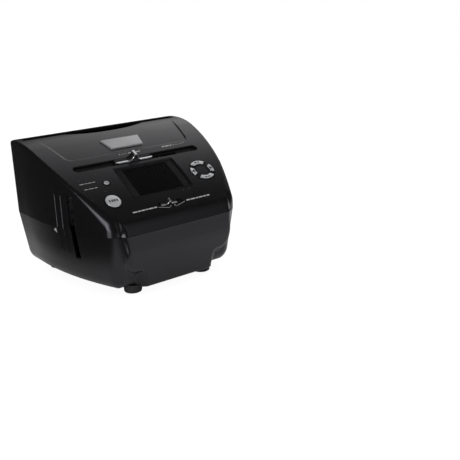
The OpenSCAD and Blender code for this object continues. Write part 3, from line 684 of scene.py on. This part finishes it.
def placeCopies(name, single, places, slot, replaced):
    made = addObject(name, [Vector(p) * mm for p in places], [])
    step = made.modifiers.new("copies", "NODES")
    step.node_group = placedCopies
    values = {"Copy": single, "Size": 1.0, "Finish": finishes[slot]}
    for item in placedCopies.interface.items_tree:
        if item.name in values:
            step[item.identifier] = values[item.name]
    applied(made)
    bpy.data.objects.remove(single)
    finished(shadeSmooth(made), slot, mainBody, replaced)


slotValues = {
    "printHalf": halfWidth - 8, "printWidth": 8.5, "printDepth": 16, "scallopDepth": 10, "scallopHalf": 45,
    "scallopPower": 2.6, "edge": 0.6, "filmY": -23.5, "filmGap": 7, "filmDepth": 12, "filmLow": 35.5,
    "filmHigh": 95.5,
    "fluteRadius": 7, "fluteDepth": 1.0, "fluteFirst": 8.5, "fluteStep": 8, "fluteTop": 5,
}
displayValues = {"y": -33, "width": 49, "height": 36.8, "pocketWidth": 67, "pocketHeight": 42.8,
                 "corner": 1.6, "bevel": 2, "depth": 2.2, "screenGap": 1.2}
grooveValues = {"half": 64.5, "width": 8, "depth": 6, "y": -7.7}
plateValues = {"y": bandY + 94, "lower": (17.6, -8.6), "upper": (21.5, 8.6), "corner": 1.2, "thickness": 0.8}
scanValues = {"at": (-53.5, bandY + 25.9), "radius": 7.75, "stem": (0, 0), "dome": 0.35}
powerValues = {"at": (-48.2, bandY + 45.4), "radius": 3, "stem": (0, -7), "dome": 0.8}
ringValues = {"at": (53.7, bandY + 38.1), "outer": 13.2, "inner": 6.8, "wide": 96, "narrow": 64,
              "corner": 1.1}
focusValues = {"at": (-4, bandY + 13.2), "length": 17.5, "travel": 5, "width": 4.6, "slack": 1.6,
               "depth": 1.3, "slot": 2.6}
buttonGap = 0.3


def slotOutline():
    v = slotValues
    half, width, reach, sink = v["printHalf"], v["printWidth"], v["scallopHalf"], v["scallopDepth"]
    front = [(reach * t / 24, -sink * (1 - abs(t / 24) ** v["scallopPower"])) for t in range(-24, 25)]
    return [(-half, 0)] + front + [(half, 0), (half, width), (-half, width)]


def plateOutline():
    (lowX, lowY), (highX, highY) = plateValues["lower"], plateValues["upper"]
    corners = [(-lowX, lowY), (lowX, lowY), (highX, highY), (-highX, highY)]
    return roundCorners(corners, plateValues["corner"])


def ringShape(span, inset=0.0):
    v = ringValues
    half = span / 2 - math.degrees(inset / 10)
    outer = arc((0, 0), v["outer"] - inset * 0.6, 90 - half, 90 + half, 20)
    inner = arc((0, 0), v["inner"] + inset * 1.25, 90 + half - 4, 90 - half + 4, 14)
    ends = [outer[0], outer[-1], inner[0], inner[-1]]
    whole = outer + inner
    rounded = []
    for i, point in enumerate(whole):
        if point not in ends:
            rounded.append(point)
            continue
        here = Vector(point)
        back, ahead = Vector(whole[i - 1]) - here, Vector(whole[(i + 1) % len(whole)]) - here
        start = here + back.normalized() * min(v["corner"], back.length * 0.9)
        end = here + ahead.normalized() * min(v["corner"], ahead.length * 0.9)
        rounded += turnCorner(start, here, end, 5)
    return rounded


ringButtons = [("mode_button", "mode_key", "wide", 0), ("left_button", "left_key", "narrow", 90),
               ("enter_button", "enter_key", "wide", 180), ("right_button", "right_key", "narrow", 270)]


def ringPlace(turn):
    return panelPlace(*ringValues["at"]) @ spin(math.radians(turn), "Z")


def mouth(depth, edge):  # levels of a cutter with a chamfered mouth
    return [(-depth, 0), (-edge, 0), (3, edge + 3)]


def filmCutters(lowZ, highZ, lean):
    v = slotValues
    tools = []
    for side in (-1, 1):
        middle = (lowZ + highZ) / 2
        place = sidePlace(side, v["filmY"], middle, lean)
        outline = rectangle(v["filmGap"], highZ - lowZ)
        tools.append(prism("filmCut", outline, mouth(v["filmDepth"], 0.5), place))
        for i in range(2):
            y = v["filmY"] + v["fluteFirst"] + v["fluteStep"] * i
            more = v["fluteTop"] if highZ == v["filmHigh"] else 0
            place = sidePlace(side, y, middle + more / 2, lean)
            tools.append(fluteCutter(place, highZ - lowZ + more))
    return tools


def fluteCutter(place, length):
    r, sink = slotValues["fluteRadius"], slotValues["fluteDepth"]
    upright = place @ shift(0, -length / 2, r - sink) @ spin(-math.pi / 2, "X")
    low = arc((0, r), r, -90, 0, 12)[1:]
    high = [(x, length - z) for x, z in low[::-1]]
    return lathe("flute", [(0, 0)] + low + high + [(0, length)], upright, 96)


def hollowShell(name, form, cap, lowZ, highZ):  # the outer skin and the hollow that is cut from it
    low, high = (-halfWidth - 3, -halfDepth - 3, lowZ), (halfWidth + 3, halfDepth + 3, highZ)
    return [netSurface(label, lambda x, y, z: np.maximum(form(x, y, z) + wall, cap(z)), low, high, step)
            for label, wall, step in ((name, 0, shell["net"]), ("hollow", shell["wall"], shell["hollowNet"]))]


def upperHousing():
    reach = shell["seam"] - 5
    skin, hollow = hollowShell("upperShell", upperForm, lambda z: reach - z, reach - 3, cadHigh.z / mm + 4)
    below = prism("below", rectangle(400, 400), [(0, 0), (shell["seam"] + shell["seamGap"] / 2, 0)])
    v, slots, groove, focus = displayValues, slotValues, grooveValues, focusValues
    printMouth = mouth(slots["printDepth"], slots["edge"])
    tools = [hollow, below, prism("printCut", slotOutline(), printMouth, panelPlace(0, printY))]
    tools += filmCutters(shell["seam"] - 8, slots["filmHigh"], 0.0)
    pocket = [(-v["depth"], -v["bevel"]), (0, 0), (3, 3 * (v["bevel"] / v["depth"]))]
    screen = rectangle(v["width"] + v["screenGap"], v["height"] + v["screenGap"])
    plate = [(-plateValues["thickness"] - 0.7, 0.15), (3, 0.15)]
    channel = stadium(groove["half"], groove["width"])
    track = (focus["length"] + focus["travel"] - focus["width"]) / 2 + focus["slack"]
    middle = (focus["at"][0] + focus["travel"] / 2, focus["at"][1])
    cuts = [("pocket", rectangle(v["pocketWidth"], v["pocketHeight"], v["corner"]), pocket, (0, v["y"])),
            ("screenCut", screen, [(-8, 0), (2, 0)], (0, v["y"])),
            ("grooveCut", channel, mouth(groove["depth"], 0.6), (0, groove["y"])),
            ("plateCut", plateOutline(), plate, (0, plateValues["y"])),
            ("focusCut", stadium(track, focus["width"]), mouth(focus["depth"], 0.3), middle),
            ("focusSlot", stadium(focus["travel"] / 2 + 2.5, focus["slot"]), [(-6, 0), (2, 0)], middle)]
    for button in (scanValues, powerValues):
        cuts.append(("buttonHole", disc(button["radius"] + buttonGap), mouth(6, 0.45), button["at"]))
    tools += [prism(name, outline, levels, panelPlace(*at)) for name, outline, levels, at in cuts]
    levels = [(-6, buttonGap), (-0.3, buttonGap), (3, buttonGap + 3.3)]
    for name, body, span, turn in ringButtons:
        tools.append(prism("ringHole", ringShape(ringValues[span]), levels, ringPlace(turn)))
    combine(skin, tools)
    shadeByForm(skin, upperForm)
    finished(skin, "gloss_black", mainBody, "upper_housing")


screwValues = {"front": (36, bandY + 13), "back": (60, halfDepth - 37), "tower": 4.5, "bore": 3.3,
               "seat": 49.0, "head": 2.9, "shaft": 1.3, "tip": 73.0, "recess": (2.9, 0.75, 1.1)}
# middle, half width, bottom and top of each socket in the back wall
socketMouths = {"usbMouth": (-22, 4.25, 17.2, 22.3), "cardMouth": (14, 13, 17.6, 20.6)}


def fourPlaces(values):  # a front and a back place on both sides
    return [(side * x, y, 0) for side in (-1, 1) for x, y in (values["front"], values["back"])]


def lowerHousing():
    top, base, seam = shell["seam"] + 5, shell["base"], shell["seam"]
    skin, hollow = hollowShell("lowerShell", lowerForm, lambda z: z - top, base - 4, top + 3)
    combine(skin, [hollow])
    posts = [shift(*place) for place in fourPlaces(screwValues)]
    tower = disc(screwValues["tower"], 40)
    combine(skin, [prism("tower", tower, [(base + 1, 0), (seam - 0.5, 0)], post) for post in posts], "UNION")
    above = prism("above", rectangle(400, 400), [(seam - shell["seamGap"] / 2, 0), (200, 0)])
    tools = [above] + filmCutters(slotValues["filmLow"], seam + 8, shell["lean"])
    bore = [(0, 1.2), (base + 0.5, 0.4), (seam - 14, 0)]
    tools += [prism("counterbore", disc(screwValues["bore"], 40), bore, post) for post in posts]
    backWall = shift(0, halfDepth, 0) @ spin(-math.pi / 2, "X")
    for name, (x, half, low, high) in socketMouths.items():
        outline = [(x - half, -low), (x + half, -low), (x + half, -high), (x - half, -high)]
        tools.append(prism(name, outline, [(-5, 0), (-0.4, 0), (2, 2.4)], backWall))
    combine(skin, tools)
    shadeByForm(skin, lowerForm)
    finished(skin, "gloss_black", mainBody, "lower_housing")


upperHousing()
print("upper housing made")
lowerHousing()
print("lower housing made")


footValues = {"radius": 9, "rim": 1.2, "front": (39.5, bandY + 27), "back": (62, halfDepth - 17)}


def rubberFeet(values):
    r, rim, top = values["radius"], values["rim"], shell["base"] + 0.2
    profile = [(0, 0.5), (r - 3.2, 0.5), (r - 2.6, 0)] + arc((r - rim - 0.6, rim), rim, -90, -10, 6)
    single = lathe("foot", profile + [(r, top), (0, top)])
    placeCopies("rubberFeet", single, fourPlaces(values), "rubber_black", "rubber_feet")


rubberFeet(footValues)
print("feet made")


def moved(made, place):  # place holds millimetres
    scaled = place.copy()
    scaled.translation = place.translation * mm
    made.data.transform(scaled)
    return made


def setPieces(pairs, place, angle, body, replaced, flatCaps=False):
    for piece, slot in pairs:
        moved(piece, place)
        shadeSmooth(piece, angle, flatCaps)
        finished(piece, slot, body, replaced)


def block(name, low, high):
    base = shift((low[0] + high[0]) / 2, (low[1] + high[1]) / 2, low[2])
    wide, deep, tall = [b - a for a, b in zip(low, high)]
    return prism(name, rectangle(wide, deep), [(0, 0), (tall, 0)], base)


sliderKnob = {
    "half": 20.5, "foot": -2.2, "bar": 1.4, "fin": 8, "thick": 1.7, "flare": 6.2, "width": 3.7, "blade": 2.1,
    "cap": 6.6, "stem": (2.6, 1.2, -4.6), "waist": 9, "at": (-6, grooveValues["y"]), "step": 0.34,
}
focusKnob = {
    "half": focusValues["length"] / 2, "foot": -1, "bar": 0.8, "fin": 4.6, "thick": 1.1, "flare": 3.2,
    "width": 2.0, "blade": 1.3, "cap": 3.7, "stem": (1.6, 1.0, -3.5), "waist": 0, "at": focusValues["at"],
    "step": 0.2,
}


def knobForm(v, x, y, z):  # a low bar that flares up into a fin
    bar = roundMax(np.abs(x) - v["half"], z - v["bar"], 0.6)
    fin = roundMax(np.abs(x) - v["thick"], z - v["fin"], 0.6)
    top = roundMin(bar, fin, v["flare"])
    form = roundMax(roundMax(top, np.abs(y) - v["width"], 0.5), v["foot"] - z, 0.2)
    if v["waist"]:  # each end is drawn in by round bites
        bite = v["waist"] - np.hypot(np.abs(x) - v["half"] - 2, np.abs(y) - v["width"] - 7.8)
        form = np.maximum(form, bite)
    return form


def bladeForm(v, x, y, z):  # bright front of the knob and top of its fin, in chrome; the rest of the knob is painted shade
    back = y + v["width"]
    front = np.maximum(knobForm(v, x, y, z + 0.14 * back * (z > 0)), back - v["blade"])
    cap = np.maximum(knobForm(v, x, y, z), v["cap"] - z)
    return np.minimum(front, cap)


def makeKnob(values, body, replaced):
    half, width, step = values["half"] + 0.5, values["width"] + 0.5, values["step"]
    low, high = (-half, -width, values["foot"] - 0.5), (half, width, values["fin"] + 0.5)
    blade = netSurface(replaced, lambda x, y, z: bladeForm(values, x, y, z), low, high, step)
    # painted shade: behind its chrome front, the knob's body is given satin black so that it reads dark, as
    # in the groove's shade
    dark = netSurface("knobBody", lambda x, y, z: knobForm(values, x, y, z) + 0.35, low, high, step)
    wide, deep, foot = values["stem"]
    combine(dark, [block("stem", (-wide, -deep, foot), (wide, deep, values["foot"] + 0.5))], "UNION")
    place = panelPlace(*values["at"])
    setPieces(((blade, "chrome_silver"), (dark, "satin_black")), place, 50, body, replaced)


makeKnob(sliderKnob, "light_slider", "slider_knob")
makeKnob(focusKnob, "focus_switch", "focus_knob")
print("knobs made")


pressValues = {"proud": 0.8, "floor": -3.05, "flange": 1, "lip": 1.2, "stem": 1.4, "stemEnd": -4.25,
               "rim": 0.6, "edge": 0.6}  # edge: dark surround of each round button


def stemParts(at):
    v = pressValues
    levels = [(v["stemEnd"], 0), (v["floor"] - 0.3, 0)]
    parts = [prism("stem", disc(v["stem"], 32), levels, shift(*at, 0))]
    if abs(at[1]) > 1:  # a tongue carries the stem of a small button to its switch
        near, far = sorted((0, at[1]))
        low, high = (-v["stem"], near, v["floor"] - v["flange"]), (v["stem"], far, v["floor"] - 0.05)
        parts.append(block("tongue", low, high))
    return parts


def roundButton(values, name, body):
    v = pressValues
    r, under, top = values["radius"], v["floor"] - v["flange"], v["proud"] + values["dome"]
    lip, floor = r + v["lip"], v["floor"]
    outline = [(0, under), (lip, under), (lip, floor), (r, floor), (r, 0), (r - 0.25, 0.2), (0, 0.2)]
    base = lathe(name, outline, steps=96)
    combine(base, stemParts(values["stem"]), "UNION")
    r -= v["edge"]
    flat = r - v["rim"]
    rise = arc((flat, v["proud"] - v["rim"]), v["rim"], 0, 90, 6)[:-1]
    crown = [(flat * t, v["proud"] + values["dome"] * (1 - t * t)) for t in (1, 0.85, 0.7, 0.5, 0.3, 0.12)]
    face = lathe("face", [(0, 0.1), (r, 0.1)] + rise + crown + [(0, top)], steps=96)
    setPieces(((base, "satin_black"), (face, "key_silver")), panelPlace(*values["at"]), 40, body, name)


def ringButton(name, body, span, turn, stemAt):
    v = pressValues
    levels = [(v["floor"] - v["flange"], 0.9), (v["floor"], 0.9), (v["floor"], 0), (0, 0), (0.2, -0.3)]
    base = prism(name, ringShape(ringValues[span]), levels)
    middle = (ringValues["outer"] + ringValues["inner"]) / 2
    parts = [moved(part, shift(0, middle, 0)) for part in stemParts((0, stemAt - middle))]
    combine(base, parts, "UNION")
    rim = [(v["proud"] - 0.35 + z, grow - 0.35) for grow, z in arc((0, 0), 0.35, 0, 90, 4)]
    face = prism("face", ringShape(ringValues[span], 1.15), [(0.1, 0)] + rim)
    setPieces(((base, "satin_black"), (face, "key_silver")), ringPlace(turn), 40, body, name, flatCaps=True)


roundButton(scanValues, "scan_button", "scan_key")
roundButton(powerValues, "power_button", "power_key")
for name, body, span, turn in ringButtons:
    ringButton(name, body, span, turn, 1.4 if name == "mode_button" else 10)
print("buttons made")


def namePlate():
    v = plateValues
    rise = arc((0, 0), 0.5, 20, 90, 5)
    levels = [(-v["thickness"], 0), (0.25, 0)] + [(0.3 + z, grow * 1.8 - 0.9) for grow, z in rise]
    plate = prism("name_plate", plateOutline(), levels, panelPlace(0, v["y"]))
    shadeSmooth(plate, 40, flatCaps=True)
    finished(plate, "plate_silver", mainBody, "name_plate")


def displayWindow():
    v = displayValues
    floor, seat, place = -v["depth"], -shell["wall"] - 0.8, panelPlace(0, v["y"])
    wide, high = v["pocketWidth"] - 2 * v["bevel"] - 0.6, v["pocketHeight"] - 2 * v["bevel"] - 0.6
    outline = rectangle(wide, high, 1.0)
    mask = prism("displayMask", outline, [(floor + 0.01, -0.1), (floor + 0.15, -0.1)], place)
    opening = prism("opening", rectangle(v["width"], v["height"], 0.5), [(-4, 0), (2, 0)], place)
    combine(mask, [opening])
    finished(mask, "satin_black", mainBody)
    levels = [(seat - 0.5, 0), (floor - 0.2, 0), (floor - 0.1, -0.1)]
    panel = prism("display_module", rectangle(v["width"], v["height"], 0.4), levels, place)
    levels = [(seat - 2.1, 0), (seat - 0.1, 0)]
    carrier = prism("carrier", rectangle(v["width"] + 8, v["height"] + 5, 0.6), levels, place)
    combine(panel, [carrier], "UNION")
    finished(panel, "lcd_dark", mainBody, "display_module")
    levels = [(floor + 0.2, 0), (floor + 0.9, 0), (floor + 1, -0.15)]
    window = prism("display_window", outline, levels, place)
    finished(window, "clear_window", mainBody, "display_window")


namePlate()
displayWindow()
print("plate and window made")


def housingScrews(v):
    low, head, shaft = v["seat"] - 2, v["head"], v["shaft"]
    profile = [(0, low), (head - 0.5, low), (head, low + 0.4), (head, v["seat"]), (shaft, v["seat"])]
    profile += [(shaft, v["tip"] - 1), (0.3, v["tip"]), (0, v["tip"])]
    single = lathe("screw", profile, steps=40)
    long, wide, deep = v["recess"]
    places = [shift(0, 0, low) @ spin(0.4 + turn, "Z") for turn in (0, math.pi / 2)]
    bars = [prism("recess", rectangle(long, wide), [(-0.5, 0), (deep, -0.12)], place) for place in places]
    combine(single, bars)
    placeCopies("housingScrews", single, fourPlaces(v), "bright_steel", "housing_screws")


housingScrews(screwValues)
print("screws made")


def ink(height=0.0):  # levels of a printed layer
    return [(height - 0.06, 0), (height + 0.05, 0)]


def strokeAt(x0, y0, x1, y1, width):
    length, turn = math.hypot(x1 - x0, y1 - y0), math.atan2(y1 - y0, x1 - x0)
    place = panelPlace((x0 + x1) / 2, (y0 + y1) / 2) @ spin(turn, "Z")
    return prism("stroke", rectangle(length, width), ink(), place)


def dashRow(x0, x1, y, width, lengths):  # dashes of the listed lengths, stretched to fill the row
    share = (x1 - x0 - dashGap * (len(lengths) - 1)) / sum(lengths)
    parts = []
    for length in lengths:
        parts.append(strokeAt(x0, y, x0 + length * share, y, width))
        x0 += length * share + dashGap
    return parts


# marks without words: each row runs from one x to another at one y, with its width and its dashes
dashGap = 0.8
markRows = [(-73.1, -57.6, -25.9, 0.6, (2, 1, 1.6, 1.2)), (-71.9, -59.0, -32.3, 0.6, (1.4, 2, 1.2)),
            (-42.6, -17.2, -63.1, 1.3, (2, 1.2, 1.6, 1, 2.2, 1.4)),
            (15.4, 42.2, -63.2, 1.3, (1.6, 2.2, 1, 1.8, 1.2, 1.5)),
            (-5.4, 7.9, 1.5, 1.2, (1.6, 1, 1.8)), (33.4, 44.9, 1.7, 1.5, (1.2, 1.8, 1))]
markLines = [(-15.8, -63.4, -5.1, -66.4), (1.7, -66.4, 13.4, -63.4), (-13.2, 1.5, -7.4, 1.5),
             (48.6, 1.5, 56.0, 1.5), (56.0, 1.5, 61.5, 2.9)]
markDots = [(-3.4, -64.9, 0.55), (1.2, -64.9, 0.55), (-15.0, 1.5, 0.6), (47.0, 1.5, 0.6)]
sideArrow = {"y": 0.6, "z": 59.4, "outline": [(-2.5, -1.8), (2.5, -1.8), (0, 2.5)]}
keyMarkValues = {"arrowAt": 10.4, "dashAt": 10.5, "dashFrom": -2.8, "dashHeight": 1.5,
                 "scanAt": (-3.45, -1.15, 1.15, 3.45), "scanDash": (1.8, 2.8, 0.2),
                 "powerOuter": 1.35, "powerInner": 0.95, "powerBar": (0.4, 1.0), "barAt": 0.9}


def panelMarks():
    parts = []
    for row in markRows:
        parts += dashRow(*row)
    parts += [strokeAt(*line, 0.32) for line in markLines]
    parts += [prism("dot", disc(radius, 24), ink(), panelPlace(x, y)) for x, y, radius in markDots]
    place = sidePlace(-1, sideArrow["y"], sideArrow["z"], shell["lean"]) @ spin(math.pi / 2, "Z")
    parts.append(prism("arrow", sideArrow["outline"], ink(), place))
    finished(joined("panelMarks", parts), "mark_white", mainBody)


def keyMark(name, body, place, shapes):  # each shape has an outline, its levels and its spot
    parts = [prism("mark", outline, levels, place @ shift(x, y, 0)) for outline, levels, x, y in shapes]
    finished(joined(name, parts), "mark_dark", body)


def keyMarks(v):
    proud, ring = pressValues["proud"], panelPlace(*ringValues["at"])
    for sign, body in ((-1, "left_key"), (1, "right_key")):
        outline = [(sign * 2.2, 0), (-sign * 1.5, sign * 2.4), (-sign * 1.5, -sign * 2.4)]
        keyMark("arrowMark", body, ring, [(outline, ink(proud), sign * v["arrowAt"], 0)])
    for sign, body, lengths in ((1, "mode_key", (2.8, 2.0)), (-1, "enter_key", (2.0, 2.8))):
        shapes, start = [], v["dashFrom"]
        for length in lengths:
            outline = rectangle(length, v["dashHeight"])
            shapes.append((outline, ink(proud), start + length / 2, sign * v["dashAt"]))
            start += length + dashGap
        keyMark("dashMark", body, ring, shapes)
    shapes, dome = [], scanValues["dome"]
    flat = scanValues["radius"] - pressValues["edge"] - pressValues["rim"]
    for middle in v["scanAt"]:
        top = proud + dome - dome * (middle / flat) ** 2
        shapes.append((rectangle(*v["scanDash"]), [(top - 0.3, 0), (top + 0.02, 0)], middle, 0))
    keyMark("scanMark", "scan_key", panelPlace(*scanValues["at"]), shapes)
    top = proud + powerValues["dome"]
    outline = arc((0, 0), v["powerOuter"], 125, 415, 24) + arc((0, 0), v["powerInner"], 415, 125, 24)
    shapes = [(outline, [(top - 0.6, 0), (top - 0.25, 0)], 0, 0),
              (rectangle(*v["powerBar"]), [(top - 0.6, 0), (top - 0.1, 0)], 0, v["barAt"])]
    keyMark("powerMark", "power_key", panelPlace(*powerValues["at"]), shapes)


panelMarks()
keyMarks(keyMarkValues)
print("marks made")


def lightPathSum(tree, *names):
    path = addNode(tree, "LightPath")
    total = path.outputs[names[0]]
    for name in names[1:]:
        total = mathNode(tree, "MAXIMUM", total, path.outputs[name])
    return total


# mirrored, the floor shows only beside the object and, faintly, behind it: from, to and share, in metres
floorValues = {"radius": 0.9, "color": 0.86, "glow": 1.15, "glowShare": 0.82, "beside": (-0.14, -0.10),
               "behind": (0.06, 0.16, 0.0, 0.35), "near": (-0.18, -0.14)}


def makeFloor(values):
    floor = addObject("floor", [(x, y, 0) for x, y in disc(values["radius"], 96)], [list(range(96))])
    made, tree, shader = newMaterial("floorWhite")
    fill(shader, {"Base Color": [values["color"]] * 3, "Roughness": 0.9, "Specular IOR Level": 0.0})
    glow = addNode(tree, "Emission", {"Strength": values["glow"]})
    share = mathNode(tree, "MULTIPLY", lightPathSum(tree, "Is Camera Ray"), values["glowShare"])
    mix = addNode(tree, "MixShader", {0: share, 1: shader.outputs[0], 2: glow.outputs[0]})
    x, y = addNode(tree, "SeparateXYZ", {0: objectSpot(tree)}).outputs[:2]
    beside = mapRange(tree, x, *values["beside"], interpolation_type="SMOOTHSTEP")
    far, near = mapRange(tree, y, *values["behind"]), mapRange(tree, x, *values["near"])
    behind = mathNode(tree, "MULTIPLY", far, near)
    hidden = mathNode(tree, "SUBTRACT", 1.0, mathNode(tree, "MAXIMUM", beside, behind))
    hidden = mathNode(tree, "MULTIPLY", lightPathSum(tree, "Is Glossy Ray"), hidden)
    below = addNode(tree, "NewGeometry").outputs["Backfacing"]  # clear when seen from below
    hidden = mathNode(tree, "MAXIMUM", hidden, below)
    passed = addNode(tree, "BsdfTransparent")
    mix = addNode(tree, "MixShader", {0: hidden, 1: mix.outputs[0], 2: passed.outputs[0]})
    fill(tree.nodes["Material Output"], {"Surface": mix.outputs[0]})
    floor.data.materials.append(made)


worldValues = {
    "softbox": (0.64, 0.53, 0.55),  # where the large soft light stands
    "reach": 0.76,  # cosine of the angle at which it ends
    "peak": 1.25,
    "fall": 3.0,
    "dark": 0.04,
    "low": (0.30, -0.90, 0.30),  # a weaker light, low in front
    "lowReach": 0.91,
    "lowPeak": 0.42,
    "even": 0.80,  # light that falls from every side
}


def glowToward(tree, direction, reach, peak):
    toward = addNode(tree, "TexCoord").outputs["Generated"]
    near = addNode(tree, "VectorMath", {0: toward, 1: direction}, operation="DOT_PRODUCT")
    return mapRange(tree, near.outputs["Value"], reach, 1.0, 0.0, peak)


def makeWorld(values):
    world = bpy.data.worlds.new("studio")
    scene.world = world
    world.use_nodes = True
    tree = world.node_tree
    tree.nodes.clear()
    soft = mathNode(tree, "POWER", glowToward(tree, values["softbox"], values["reach"], 1.0), values["fall"])
    soft = mathNode(tree, "ADD", mathNode(tree, "MULTIPLY", soft, values["peak"]), values["dark"])
    soft = mathNode(tree, "ADD", soft, glowToward(tree, values["low"], values["lowReach"], values["lowPeak"]))
    even = addNode(tree, "Mix", {0: lightPathSum(tree, "Is Glossy Ray"), 2: values["even"], 3: soft})
    shown = lightPathSum(tree, "Is Camera Ray", "Is Transmission Ray")
    white = addNode(tree, "Mix", {0: shown, 2: even.outputs[0], 3: 1.0}).outputs[0]
    background = addNode(tree, "Background", {"Color": (1, 1, 1), "Strength": white})
    addNode(tree, "OutputWorld", {"Surface": background.outputs[0]})


lightValues = {
    "frontLeft": {"place": (-1.1, -0.40, 0.16), "size": (0.62, 0.90), "power": 8.0, "mirrored": True},
    "overhead": {"place": (0.1, -0.3, 1.3), "size": (0.5, 0.5), "power": 1.2, "mirrored": False},
}


def makeLights(values):
    for name, value in values.items():
        data = bpy.data.lights.new(name, "AREA")
        data.shape = "RECTANGLE"
        data.size, data.size_y = value["size"]
        data.energy = value["power"]
        lamp = linked(name, data)
        lamp.location = value["place"]
        lamp.rotation_mode = "QUATERNION"
        lamp.visible_glossy = value["mirrored"]
        lamp.visible_diffuse = not value["mirrored"]
        lamp.rotation_quaternion = (Vector((0, 0, 0.07)) - lamp.location).to_track_quat("-Z", "Y")


makeFloor(floorValues)
makeWorld(worldValues)
makeLights(lightValues)
scene.view_settings.view_transform = "Standard"
print("stage made")
